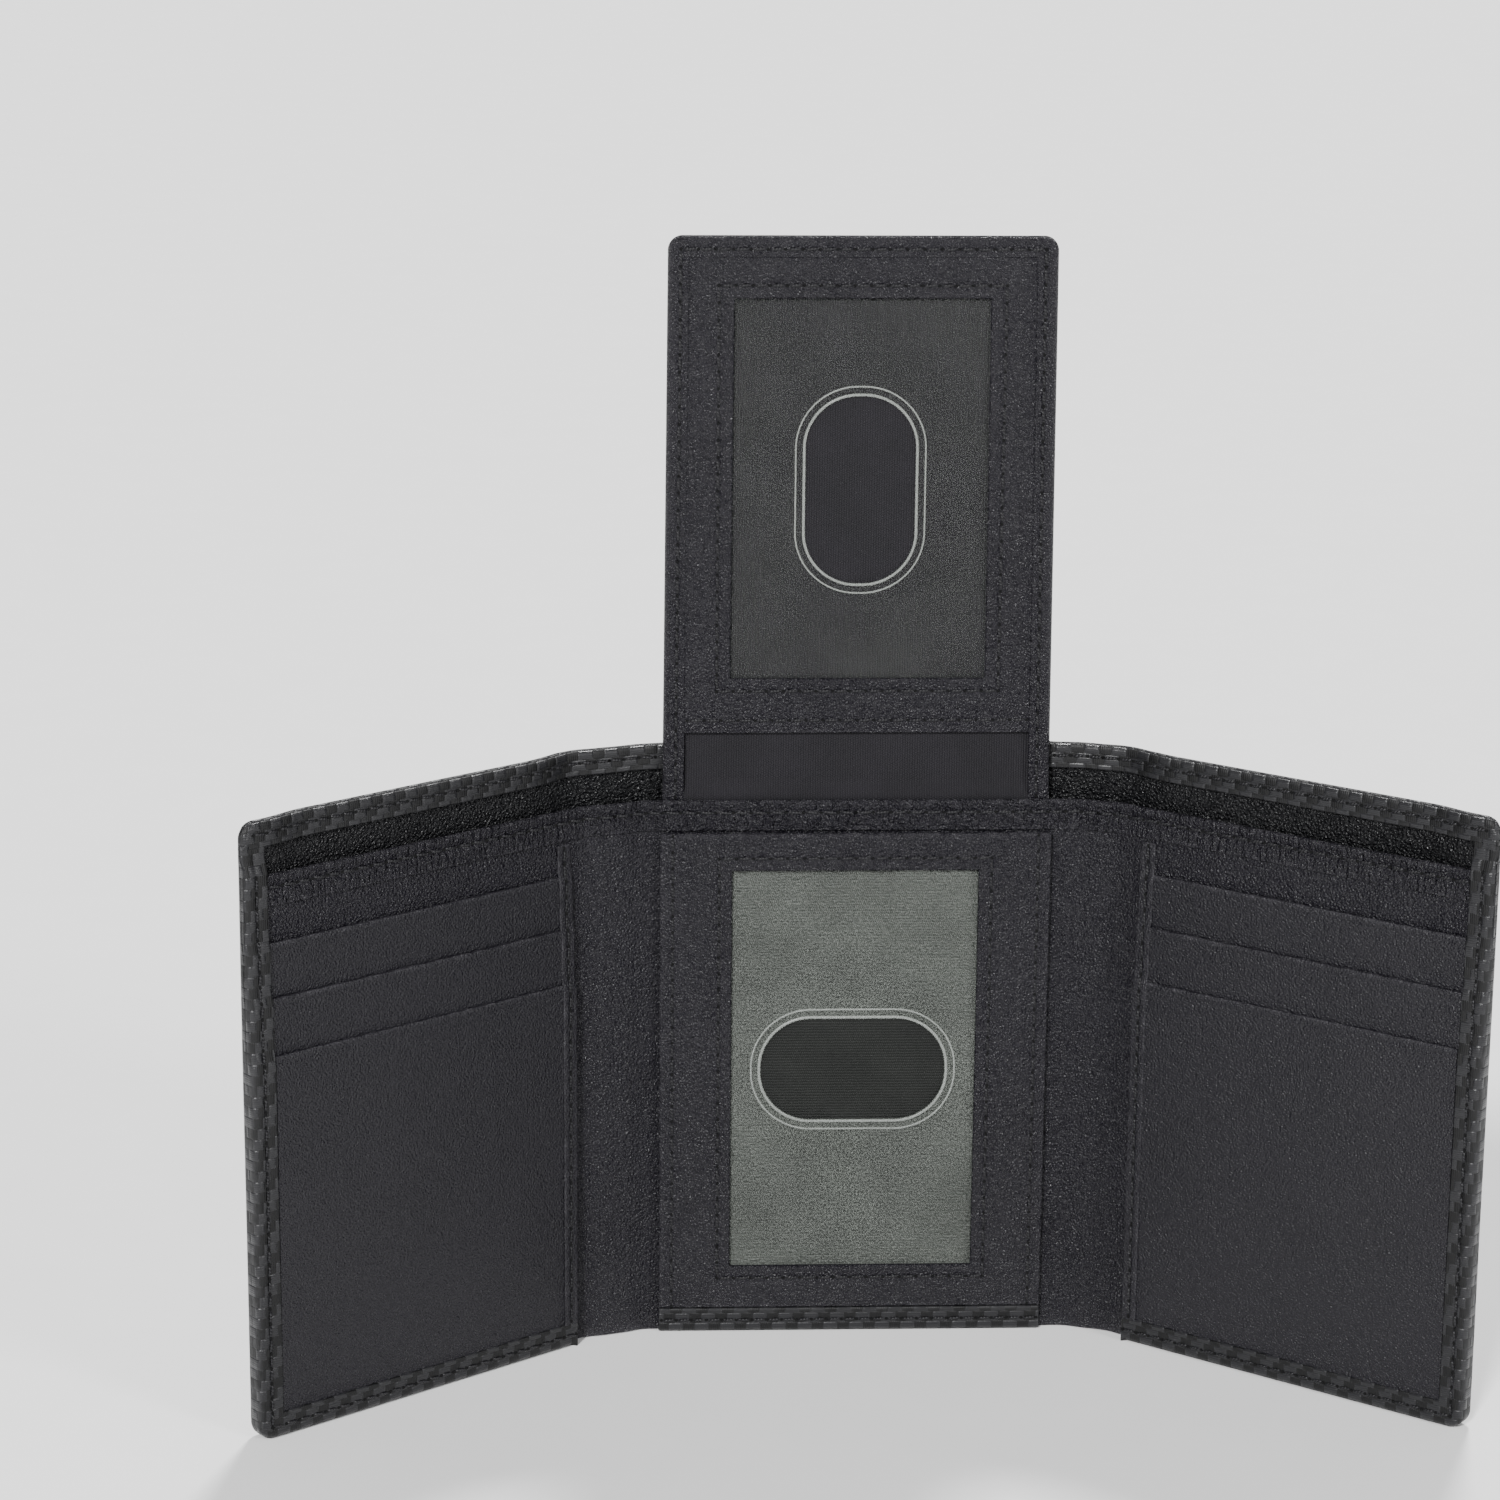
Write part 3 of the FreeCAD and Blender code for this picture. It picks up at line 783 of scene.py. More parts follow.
def lining_cloth(name, rib, colours, polish, turned=False):
    """Woven lining; turned cloth has its ribs running upright."""
    finish = Finish(name)
    if turned:
        parts = finish.add("ShaderNodeSeparateXYZ", {0: finish.place}).outputs
        finish.place = finish.add("ShaderNodeCombineXYZ", {0: parts[1], 1: parts[0]}).outputs[0]
    weave = finish.effect("rib_weave", Rib=rib, Thread=rib * 0.7)
    marks = finish.effect("hand_marks", Size=9.0, Creases=weave["Gaps"])
    colour = finish.mix(marks["Tone"], *colours)
    # The gaps between the ribs and threads are mixed towards near black: painted shade in the gaps.
    colour = finish.mix(finish.math("MULTIPLY", weave["Gaps"], 0.75), colour, (0.003, 0.003, 0.004))
    colour = finish.mix(finish.math("MULTIPLY", marks["Dust"], 0.08), colour, (0.1, 0.1, 0.1))
    normal = finish.bump(weave["Height"], 0.12)
    return finish.finish(
        Base_Color=colour, Roughness=finish.blend(weave["Gaps"], polish, 0.9), Normal=normal,
        Specular_IOR_Level=0.28, Sheen_Weight=0.02,
    )


def clear_vinyl(name, haze_and_reflection, tint):
    """Clear sheet with a little cloudiness, part of it painted reflection, finely scuffed, and clean bright
    lines where it is welded.
    """
    finish = Finish(name)
    marks = finish.effect("hand_marks", Size=16.0)
    scuffs = finish.noise(finish.scaled(finish.place, (0.4, 2.6, 1.0)), 2.0, 4.0, 0.7)
    # The opacity built here is partly the vinyl's own cloudiness and partly painted reflection.
    cloudiness_and_reflection = finish.math("MULTIPLY_ADD", marks["Tone"], haze_and_reflection * 0.25, haze_and_reflection * 0.75)
    pressed = finish.noise(finish.scaled(finish.place, (1.0, 0.75, 1.0)), 3.2, 2.0)
    cloudiness_and_reflection = finish.math("MULTIPLY_ADD", finish.range(scuffs, 0.3, 0.75), haze_and_reflection * 0.3, cloudiness_and_reflection)
    cloudiness_and_reflection = finish.math("MULTIPLY", cloudiness_and_reflection, finish.range(pressed, 0.34, 0.66, 0.35, 1.35))
    cloudiness_and_reflection = finish.math("MULTIPLY_ADD", finish.edge, 0.34, cloudiness_and_reflection, clamp=True)
    roughness = finish.math("MULTIPLY_ADD", scuffs, 0.25, 0.14)
    slow = finish.noise(finish.place, 0.12, 2.0)
    normal = finish.bump(slow, 0.6, 0.35)
    normal = finish.bump(pressed, 0.05, 1.0, normal)
    colour = finish.mix(marks["Tone"], tint, tuple(value * 1.12 for value in tint))
    colour = finish.mix(finish.edge, colour, (0.34, 0.36, 0.34))
    return finish.finish(Base_Color=colour, Roughness=roughness, Alpha=cloudiness_and_reflection, Normal=normal,
                         Specular_IOR_Level=0.4)


def waxed_thread():
    """Black thread with its plies twisted along each stitch."""
    finish = Finish("waxed_thread")
    parts = finish.add("ShaderNodeSeparateXYZ", {0: finish.place}).outputs
    twist = finish.math("MULTIPLY_ADD", parts[1], 2.0, finish.math("DIVIDE", parts[0], 0.55))
    plies = finish.math("ABSOLUTE", finish.math("SINE", finish.math("MULTIPLY", twist, math.pi)))
    fuzz = finish.noise(finish.place, 7.0, 3.0)
    colour = finish.mix(plies, (0.002, 0.002, 0.0025), (0.012, 0.0115, 0.0135))
    colour = finish.mix(finish.math("MULTIPLY", fuzz, 0.25), colour, (0.022, 0.022, 0.025))
    # The needle-hole discs marked by the edge attribute are mixed to near black: painted shade in the holes.
    colour = finish.mix(finish.edge, colour, (0.0012, 0.0012, 0.0014))
    rough = finish.math("MAXIMUM", finish.blend(plies, 0.7, 0.34), finish.edge)
    normal = finish.bump(plies, 0.09)
    return finish.finish(
        Base_Color=colour, Roughness=rough, Normal=normal, Specular_IOR_Level=0.3
    )


def stiff_board():
    """Grey fibre board, hidden between the leather and the lining."""
    finish = Finish("stiff_board")
    fibres = finish.noise(finish.scaled(finish.place, (1.0, 0.3, 1.0)), 3.0, 5.0, 0.7)
    colour = finish.mix(fibres, (0.12, 0.105, 0.085), (0.22, 0.2, 0.165))
    return finish.finish(Base_Color=colour, Roughness=finish.blend(fibres, 0.8, 0.95),
                         Normal=finish.bump(fibres, 0.08))


STRIP_TONES = ((0.0058, 0.0048, 0.0082), (0.0074, 0.0063, 0.0102))
PANEL_TONES = ((0.005, 0.0042, 0.0073), (0.0066, 0.0056, 0.009))
BILL_TONES = ((0.003, 0.003, 0.0038), (0.005, 0.005, 0.006))
CLOTH_TONES = ((0.0032, 0.0042, 0.0032), (0.0068, 0.008, 0.0066))
FLAP_CLOTH_TONES = ((0.0036, 0.003, 0.005), (0.0062, 0.0052, 0.008))

FINISHES = {
    "embossed": (embossed_leather(), "carbon_leather"),
    "strip": (grained_leather("strip_leather", 0.5, 0.21, STRIP_TONES, 0.22), "inner_leather"),
    "band": (grained_leather("band_leather", 0.48, 0.2, STRIP_TONES, 0.19, 1.3), "inner_leather"),
    "panel": (grained_leather("panel_leather", 0.44, 0.12, PANEL_TONES, 0.3), "inner_leather"),
    "bill": (grained_leather("bill_lining_cloth", 0.56, 0.3, BILL_TONES, 0.22), "lining_fabric"),
    "cloth": (lining_cloth("lining_cloth", 0.52, CLOTH_TONES, 0.6), "lining_fabric"),
    "flap_cloth": (lining_cloth("flap_lining_cloth", 0.44, FLAP_CLOTH_TONES, 0.62, True), "lining_fabric"),
    # One clear vinyl in two copies: the centre window is made more opaque, partly as painted reflection, and
    # the flap window less opaque with a darker tint, as painted shade.
    "centre_vinyl": (clear_vinyl("centre_vinyl", 0.062, (0.46, 0.50, 0.45)), "clear_vinyl"),
    "flap_vinyl": (clear_vinyl("flap_vinyl", 0.014, (0.42, 0.46, 0.40)), "clear_vinyl"),
    "thread": (waxed_thread(), "thread"),
    "board": (stiff_board(), "stiffener_board"),
}


# ---------------------------------------------------------------- outer leather
def top_roll(side, u, z):
    """The turned top edge: half its thickness, and its middle depth."""
    face = cover_face(side, u, z)
    front = lining_face(side, u, z) - HEM_THICK
    return (face - front) / 2, (face + front) / 2


def stack_front(side, u):
    """Front of everything that is sewn into the lower edge."""
    return np.where(u < PANEL_HALF, FRAME_FRONT, np.where(u < STACK_START[side], DIVIDER_FRONT, WING_FRONT))


def cover_surfaces(side, outline):
    """Outside face of the embossed leather, rolled over at the top, below and at the outer edge."""
    def surfaces(u, z, inset):
        face = cover_face(side, u, z)
        found = outline.distances(u, z)
        half_top, middle_top = top_roll(side, u, z)
        front_below = stack_front(side, u)
        wrapped = (u < PANEL_HALF) | (u > STACK_START[side])
        half_below = np.where(wrapped, np.minimum(HEM_ROLL, (face - front_below) / 2), 0.42)
        middle_below = (face + front_below) / 2
        nearest_top = found["top"] <= np.minimum(found["low"], found["outer"])
        roll = np.where(nearest_top, half_top, half_below)
        back = face - rim(inset, roll) + groove_of_cover(side, u, z)
        front = face - COVER_THICK
        turned = (inset < TURNED) & (nearest_top | wrapped)
        middle = np.where(nearest_top, middle_top, middle_below)
        above = nearest_top | ((u > SLOT_END[side]) & (z > DIVIDER_TOP + 2))
        middle = np.where(above & ~nearest_top, face - half_top, middle)
        front = np.where(turned, np.minimum(middle - OVERLAP, back - THINNEST), front)
        return front, back, face
    return surfaces


def groove_of_cover(side, u, z):
    """Stitch lines pressed into the outside, inward from it."""
    edge = WING_END[side] - SEAM_INSET
    line = groove(z - COVER_TOP + SEAM_INSET) * (u < edge + 0.5)
    below = groove(z - SEAM_INSET) * ((u < PANEL_HALF) | (u > STACK_START[side])) * (u < edge + 0.5)
    outer = groove(u - edge) * (z > SEAM_INSET) * (z < COVER_TOP - SEAM_INSET)
    return -np.maximum(np.maximum(line, below), outer)


COVER_Z = grid_lines(0, COVER_TOP, 1.6, 1.3, 1.2, marks=(SEAM_INSET, COVER_TOP - SEAM_INSET))


def half_lines(side, step=1.4, marks=()):
    """Lines across half of the centre panel and half of the spine, closer where they bend."""
    bend = np.arange(PANEL_HALF - 6, MID_SPINE[side], 0.55)
    edges = np.array([PANEL_HALF - 0.04, PANEL_HALF + 0.04])
    plain = np.arange(0, PANEL_HALF - 6, step)
    return np.unique(np.round(np.concatenate([plain, bend, edges, [MID_SPINE[side]], *marks]), 3))


def wing_lines(side, end, step=1.4, end_rim=0.0, marks=()):
    """Lines across the other half of the spine and a wing."""
    start = STACK_START[side]
    bend = np.arange(MID_SPINE[side], start + 5, 0.55)
    plain = grid_lines(start + 5, end, step, 0.0, end_rim, marks)
    edges = np.array([start - 0.04, start + 0.04])
    return np.unique(np.round(np.concatenate([bend, edges, plain]), 3))


def two_halves(side, layer, finish, names, nodes, z_span, z_lines, surfaces_for, end,
               outer_edge=True, corners=(), end_rim=0.0, marks=()):
    """A layer in two pieces that meet at mid-spine: from the middle to there, and on over the wing."""
    wing_edges = ("low", "top", "outer") if outer_edge else ("low", "top")
    halves = (
        (Outline((0, MID_SPINE[side]), z_span, ("low", "top")), half_lines(side)),
        (Outline((MID_SPINE[side], end), z_span, wing_edges, corners),
         wing_lines(side, end, end_rim=end_rim, marks=marks)),
    )
    for outer, (outline, u_lines) in enumerate(halves):
        made = leaf(outline, u_lines, z_lines, surfaces_for(outline))
        across = fold_call(side, layer, bool(outer))
        attach(piece(names[outer], made, side, layer), finish, nodes[outer], across=across)


def with_centre(side, own, centre):
    """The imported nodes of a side's inner half; the left half also stands for the centre's."""
    return [own, centre] if side == "left" else [own]


def outer_cover(side):
    two_halves(
        side, "back", "embossed", (f"{side}_back_leather", f"{side}_wing_back_leather"),
        (with_centre(side, f"{side}_spine_cover", "centre_cover"), [f"{side}_wing_cover"]),
        (0, COVER_TOP), COVER_Z, lambda outline: cover_surfaces(side, outline), WING_END[side],
        corners=(("outer", "low"), ("outer", "top")), end_rim=HEM_ROLL, marks=(WING_END[side] - SEAM_INSET,),
    )


def top_hems(side):
    """The same leather, turned into the bill compartment along its mouth."""
    low = COVER_TOP - TOP_HEM
    z_lines = grid_lines(low, COVER_TOP, 0.7, 0.3, 1.2, marks=(COVER_TOP - SEAM_INSET,))

    def surfaces_for(outline):
        def surfaces(u, z, inset):
            face = lining_face(side, u, z) - HEM_THICK
            half, middle = top_roll(side, u, z)
            found = outline.distances(u, z)
            lower = found["low"] < 1.0
            front = face + np.where(lower, rim(found["low"], 0.3), rim(inset, half))
            front = front + groove(z - COVER_TOP + SEAM_INSET, 0.08)
            back = face + HEM_THICK - 0.02
            turned = ~lower & (inset < TURNED)
            back = np.where(turned, np.maximum(middle + OVERLAP, front + THINNEST), back)
            return front, back, face
        return surfaces

    two_halves(
        side, "back", "embossed", (f"{side}_mouth_hem", f"{side}_wing_mouth_hem"), ((), ()),
        (low, COVER_TOP), z_lines, surfaces_for, WING_END[side], corners=(("outer", "top"),), end_rim=1.2,
    )


def either_side(u, value_of):
    """A value at signed distances from the middle, from the functions of each side."""
    return np.where(u < 0, value_of("left", np.abs(u)), value_of("right", np.abs(u)))


def centre_hem():
    """Embossed leather turned up over the lower edge of the centre panel."""
    outline = Outline((-PANEL_HALF, PANEL_HALF), (0, HEM_WIDTH), ("inner", "outer", "low", "top"))

    def surfaces(u, z, inset):
        face = FRAME_FRONT + ripple(u, z, 1.1, 0.05)
        back_face = either_side(u, lambda side, away: cover_face(side, away, z))
        middle = (FRAME_FRONT + back_face) / 2
        found = outline.distances(u, z)
        low = found["low"] < 1.4
        others = np.minimum(np.minimum(found["inner"], found["outer"]), found["top"])
        front = face + np.where(low, rim(found["low"], HEM_ROLL), 0) + rim(others, 0.35)
        front = front + groove(z - SEAM_INSET - 0.1)
        back = np.where(found["low"] < TURNED, middle + OVERLAP, face + HEM_THICK)
        return front, np.maximum(back, front + THINNEST), face

    lines = grid_lines(-PANEL_HALF, PANEL_HALF, 1.2, 0.4, 0.4)
    z_lines = grid_lines(0, HEM_WIDTH, 0.6, 1.3, 0.35, marks=(SEAM_INSET + 0.1,))
    made = leaf(outline, lines, z_lines, surfaces)
    attach(piece("centre_hem", made), "embossed", body="centre")


def wing_hem(side):
    """Embossed leather turned round the lower and outer edges of a wing."""
    start, end = STACK_START[side], WING_END[side]
    top = COVER_TOP - TOP_HEM + 0.4
    inner = end - HEM_WIDTH
    outline = Outline((start, end), (0, top), ("inner", "low", "outer"), (("outer", "low"),))

    def surfaces(u, z, inset):
        face = hem_face(z) + ripple(u, z, 2.0, 0.05)
        middle = (face + cover_face(side, u, z)) / 2
        above = z > DIVIDER_TOP + 2
        half_top, _ = top_roll(side, u, z)
        middle = np.where(above, cover_face(side, u, z) - half_top, middle)
        found = outline.distances(u, z)
        at_start = (found["inner"] < 1.0)
        roll = np.where(above, half_top, HEM_ROLL)
        from_inner = np.maximum(u - inner, HEM_WIDTH - z)
        front = face + np.where(at_start, rim(found["inner"], 0.35), rim(inset, roll))
        front = front + rim(np.maximum(from_inner, 0), 0.35)
        line = np.where((u < inner) | (z < SEAM_INSET), z - SEAM_INSET, np.abs(u - end + SEAM_INSET))
        front = front + groove(line)
        back = np.where((inset < TURNED) & ~at_start, middle + OVERLAP, face + HEM_THICK)
        return front, np.maximum(back, front + THINNEST), face

    def keep(u, z):
        return (u > inner) | (z < HEM_WIDTH)

    lines = grid_lines(start, end, 1.2, 0.35, 1.3, marks=(inner, inner + 0.35, end - SEAM_INSET))
    z_lines = grid_lines(0, top, 1.2, 1.3, 0.0, marks=(SEAM_INSET, HEM_WIDTH, HEM_WIDTH - 0.35))
    made = leaf(outline, lines, z_lines, surfaces, keep)
    attach(piece(f"{side}_wing_hem", made, side, "front"), "embossed", body=f"{side}_wing")


def bill_linings(side):
    def surfaces(u, z, inset):
        face = lining_face(side, u, z) + ripple(u * MIRROR[side], z, 0.4, 0.1)
        return face, face + LINING - 0.03, face

    for name, low_u, high_u, outer in (
        (f"{side}_bill_cloth", 0, MID_SPINE[side], False),
        (f"{side}_wing_bill_cloth", MID_SPINE[side], WING_END[side] - 2.2, True),
    ):
        outline = Outline((low_u, high_u), (0.6, COVER_TOP - 3), ())
        lines = wing_lines(side, high_u) if outer else half_lines(side)
        made = leaf(outline, lines, grid_lines(0.6, COVER_TOP - 3, 2.0), surfaces)
        node = f"{side}_wing_bill_lining" if outer else f"{side}_spine_bill_lining"
        nodes = [node] if outer or side == "right" else [node, "centre_bill_lining"]
        cloth = attach(
            piece(name, made, side, "back"), "bill", nodes, across=fold_call(side, "back", outer)
        )


def stiffeners():
    def surfaces_for(side_of):
        def surfaces(u, z, inset):
            face = side_of(u, z) + LINING
            return face + 0.01, face + BOARD - 0.06, face
        return surfaces

    def board(name, outline, surfaces, side, body, stands_for):
        lines = grid_lines(*outline.u, 3.0)
        made = leaf(outline, lines, grid_lines(*outline.z, 3.0), surfaces)
        attach(piece(name, made, side, "back"), "board", [stands_for], body=body)

    centre = Outline((-PANEL_HALF + 5, PANEL_HALF - 5), (2, COVER_TOP - 3), ())
    on_centre = surfaces_for(lambda u, z: either_side(u, lambda side, away: lining_face(side, away, z)))
    board("centre_board", centre, on_centre, None, "centre", "centre_stiffener")
    for side in SIDES:
        wing = Outline((STACK_START[side] + 5, WING_END[side] - 8), (2, COVER_TOP - 3), ())
        on_wing = surfaces_for(lambda u, z, side=side: lining_face(side, u, z))
        board(f"{side}_wing_board", wing, on_wing, side, f"{side}_wing", f"{side}_wing_stiffener")


def divider_leather(side):
    """The smooth front wall of the compartment, whose bare strips are the spines."""
    def surfaces_for(outline):
        def surfaces(u, z, inset):
            bare = smooth((u - PANEL_HALF - 0.5) / 3) * smooth((STACK_START[side] - 0.5 - u) / 3)
            puff = -0.22 * bare * np.sin(math.pi * np.clip(z / DIVIDER_TOP, 0, 1)) ** 0.5
            face = DIVIDER_FRONT + puff + ripple(u * MIRROR[side], z, 3.0, 0.16) * bare
            top = outline.distances(u, z)["top"]
            return face, DIVIDER_BACK + puff - rim(top, 0.45), face
        return surfaces

    z_lines = grid_lines(0.3, DIVIDER_TOP, 1.6, 0.0, 0.45)
    two_halves(
        side, "front", "strip", (f"{side}_strip_leather", f"{side}_wing_divider_leather"),
        (with_centre(side, f"{side}_spine_divider", "centre_divider"), [f"{side}_wing_divider"]),
        (0.3, DIVIDER_TOP), z_lines, surfaces_for, WING_END[side] - 1.4, corners=(("outer", "low"),),
    )


def divider_band(side):
    """The divider's top edge, turned over to the front as a narrow band."""
    def surfaces_for(outline):
        def surfaces(u, z, inset):
            found = outline.distances(u, z)
            face = DIVIDER_FRONT - BAND_THICK + ripple(u * MIRROR[side], z, 1.7, 0.04)
            front = face + rim(found["top"], 0.45) + rim(found["low"], 0.25)
            front = front + groove(z - DIVIDER_TOP + SEAM_INSET, BAND_GROOVE, 1.1)
            back = DIVIDER_FRONT + 0.02 + 0.1 * (found["top"] < 0.4)
            return front, np.maximum(back, front + THINNEST), face
        return surfaces

    z_lines = grid_lines(BAND_LOW, DIVIDER_TOP, 0.4, 0.25, 0.45, marks=(DIVIDER_TOP - SEAM_INSET,))
    two_halves(
        side, "front", "band", (f"{side}_band", f"{side}_wing_band"), ((), ()),
        (BAND_LOW, DIVIDER_TOP), z_lines, surfaces_for, WING_END[side] - HEM_WIDTH + 1.2,
        outer_edge=False,
    )


# ---------------------------------------------------------------- centre pocket
def in_window(u, z, window):
    return (np.abs(u) < window[0]) & (z > window[1]) & (z < window[2])


def from_window(u, z, window):
    """Distance outside a window's edge."""
    over_u = np.abs(u) - window[0]
    over_z = np.maximum(window[1] - z, z - window[2])
    return np.where((over_u > 0) & (over_z > 0), np.hypot(over_u, over_z), np.maximum(over_u, over_z))


def square_from_window(u, z, window):
    return np.maximum(np.abs(u) - window[0], np.maximum(window[1] - z, z - window[2]))


def framed_leaf(outline, window, face_depth, thick, edge_rims, seams, phase):
    """Leather with a window cut in it; seams(u, z) gives the distance to its nearest stitch line."""
    def surfaces(u, z, inset):
        face = face_depth + ripple(u, z, phase, 0.07)
        hole = np.maximum(from_window(u, z, window), 0)
        front = face + rim(inset, edge_rims) + rim(hole, 0.35) + groove(seams(u, z), 0.12)
        near = np.clip(1 - hole / 0.8, 0, 1)
        return front, np.full(u.shape, face_depth + thick) - 0.05 * near, face

    offsets = (0.0, 0.05, 0.2, 0.35, 0.8)
    half = window[0]
    u_marks = [sign * (half + offset) for sign in (-1, 1) for offset in offsets]
    z_marks = [window[1] - offset for offset in offsets] + [window[2] + offset for offset in offsets]
    seam_u = [sign * (half + SEAM_INSET + shift) for sign in (-1, 1) for shift in (-0.4, 0, 0.4)]
    seam_z = [window[1] - SEAM_INSET + shift for shift in (-0.4, 0, 0.4)]
    seam_z += [window[2] + SEAM_INSET + shift for shift in (-0.4, 0, 0.4)]
    u_lines = np.union1d(grid_lines(*outline.u, 1.3, edge_rims, edge_rims), np.array(u_marks + seam_u))
    z_lines = np.union1d(grid_lines(*outline.z, 1.3, edge_rims, edge_rims), np.array(z_marks + seam_z))
    u_lines = u_lines[(u_lines >= outline.u[0]) & (u_lines <= outline.u[1])]
    z_lines = z_lines[(z_lines >= outline.z[0]) & (z_lines <= outline.z[1])]
    return leaf(outline, u_lines, z_lines, surfaces, lambda u, z: ~in_window(u, z, window))


def window_rows(window):
    """Stitch rows round a window, one per side."""
    half = window[0] + SEAM_INSET
    low, high = window[1] - SEAM_INSET, window[2] + SEAM_INSET
    return [
        ((-half, high), (half, high)), ((half, high), (half, low)),
        ((half, low), (-half, low)), ((-half, low), (-half, high)),
    ]


def centre_pocket():
    low, high = span("id_pocket_frame", 2)
    side_seam = PANEL_HALF - SEAM_INSET

    def seams(u, z):
        return np.minimum(
            np.abs(square_from_window(u, z, CENTRE_WINDOW) - SEAM_INSET), np.abs(np.abs(u) - side_seam)
        )

    outline = Outline((-PANEL_HALF, PANEL_HALF), (low, high), ("inner", "outer", "low", "top"))
    made = framed_leaf(outline, CENTRE_WINDOW, FRAME_FRONT, FRAME_BACK - FRAME_FRONT - 0.03, 0.4, seams, 0.9)
    attach(piece("centre_pocket_frame", made), "strip", ["id_pocket_frame"], body="centre")

    middle = (CENTRE_WINDOW[1] + CENTRE_WINDOW[2]) / 2
    plate = (PANEL_HALF - 0.6, min(middle - low, high - middle) - 0.3)
    made = window_ring(middle, SLOT_HALVES, plate, (FRAME_BACK, VINYL_BACK), 0.6)
    attach(piece("centre_pocket_vinyl", made, sharp=70), "centre_vinyl", ["id_pocket_window"], body="centre")

    cloth_front = span("id_pocket_lining", 1)[0] - FOLD_Y
    back = Outline((-PANEL_HALF + 0.4, PANEL_HALF - 0.4), (low + 0.2, high - 0.3), ())

    def cloth(u, z, inset):
        face = cloth_front + ripple(u, z, 2.2, 0.05)
        return face, face + LINING - 0.06, face

    made = leaf(back, grid_lines(*back.u, 2.0), grid_lines(*back.z, 2.0), cloth)
    made_object = attach(piece("centre_pocket_cloth", made), "cloth", ["id_pocket_lining"], body="centre")

    rows = window_rows(CENTRE_WINDOW)
    rows += [((sign * side_seam, low + 0.4), (sign * side_seam, high - 0.4)) for sign in (-1, 1)]
    made = stitches(rows, lambda u, z: FRAME_FRONT + 0.1 + ripple(u, z, 0.9, 0.07), -1, INSIDE_PITCH)
    attach(piece("centre_pocket_stitches", made), "thread", ["id_pocket_thread"], body="centre")


# ---------------------------------------------------------------- card slots
def card_slots(side):
    start, end = STACK_START[side], SLOT_END[side]
    for number, lip in enumerate(LIPS, start=1):
        back = DIVIDER_FRONT - OVERLAP - SLOT_PITCH * (number - 1) - 0.12
        last = number == len(LIPS)
        foot = HEM_WIDTH - 0.8 if last else LIPS[number] - 6.0
        stop = end + 0.03
        outline = Outline((start + 0.4, stop), (foot, lip), ("top",))

        def surfaces(u, z, inset):
            share = np.clip((u - start) / (end - start), 0, 1)
            puff = 0.12 * np.sin(math.pi * share) * smooth((lip - z) / 3 + 0.6)
            face = back - SLOT_THICK - puff * (number < 3) + ripple(u * MIRROR[side], z, number, 0.09)
            front = face + rim(lip - z, 0.2) + groove(z - lip + 1.35, 0.06, 0.3)
            return np.minimum(front, back - 0.08), np.full(u.shape, back), face

        z_lines = grid_lines(foot, lip, 1.5, 0.0, 0.2, marks=(lip - 1.35,))
        made = leaf(outline, grid_lines(*outline.u, 1.6), z_lines, surfaces)
        attach(
            piece(f"{side}_slot_leather_{number}", made, side, "front"), "panel",
            [f"{side}_wing_card_slot_{number}"], body=f"{side}_wing",
        )

        cloth = Outline((start + 0.5, end - 0.1), (HEM_WIDTH + 0.2, lip - 1.2), ())

        def hidden(u, z, inset):
            return np.full(u.shape, back + 0.015), np.full(u.shape, back + 0.1), np.full(u.shape, back)

        made = leaf(cloth, grid_lines(*cloth.u, 6.0), grid_lines(*cloth.z, 6.0), hidden)
        made_object = attach(
            piece(f"{side}_slot_cloth_{number}", made, side, "front"), "cloth",
            [f"{side}_wing_slot_lining_{number}"], body=f"{side}_wing",
        )


def edge_binding(side):
    """The narrow leather strip that binds the inner edge of the slots."""
    start = STACK_START[side]
    outline = Outline((start, start + 3.0), (HEM_WIDTH - 0.6, BAND_LOW - 0.6), ("inner", "outer", "top"))

    def surfaces(u, z, inset):
        found = outline.distances(u, z)
        face = binding_face(z) + ripple(u, z, 0.2, 0.04)
        front = face + rim(np.minimum(found["outer"], found["top"]), 0.16) + rim(found["inner"], 0.4)
        front = front + groove(u - start - 1.6, 0.08, 0.4)
        back = np.where(found["inner"] < 0.3, DIVIDER_FRONT - 0.02, face + 0.2)
        return front, np.maximum(back, front + THINNEST), face

    lines = grid_lines(*outline.u, 0.5, 0.4, 0.16, marks=(start + 1.6,))
    made = leaf(outline, lines, grid_lines(*outline.z, 1.2, 0.0, 0.16), surfaces)
    attach(
        piece(f"{side}_edge_binding", made, side, "front"), "panel",
        [f"{side}_wing_edge_binding"], body=f"{side}_wing",
    )


# ---------------------------------------------------------------- flap
def flap_half(z):
    share = np.clip((z - FLAP_LINE[2]) / (FLAP_TOP - FLAP_LINE[2]), 0, 1)
    return FLAP_HALF_ROOT + (FLAP_HALF_TIP - FLAP_HALF_ROOT) * share


def tapered(made):
    """Narrows a flap piece towards its free edge."""
    points, faces, uv, edge = made
    points = points.copy()
    points[:, 0] *= flap_half(points[:, 2]) / FLAP_HALF_ROOT
    return points, faces, uv, edge


def flap_step(z):
    """How far the flap's layers close up where they pass behind the divider at the hinge."""
    return 1.0 * smooth((FLAP_BEND[1] - 1.2 - z) / 4)


def flap_rear(z):
    """Back of the flap."""
    return FLAP_REAR - flap_step(z)


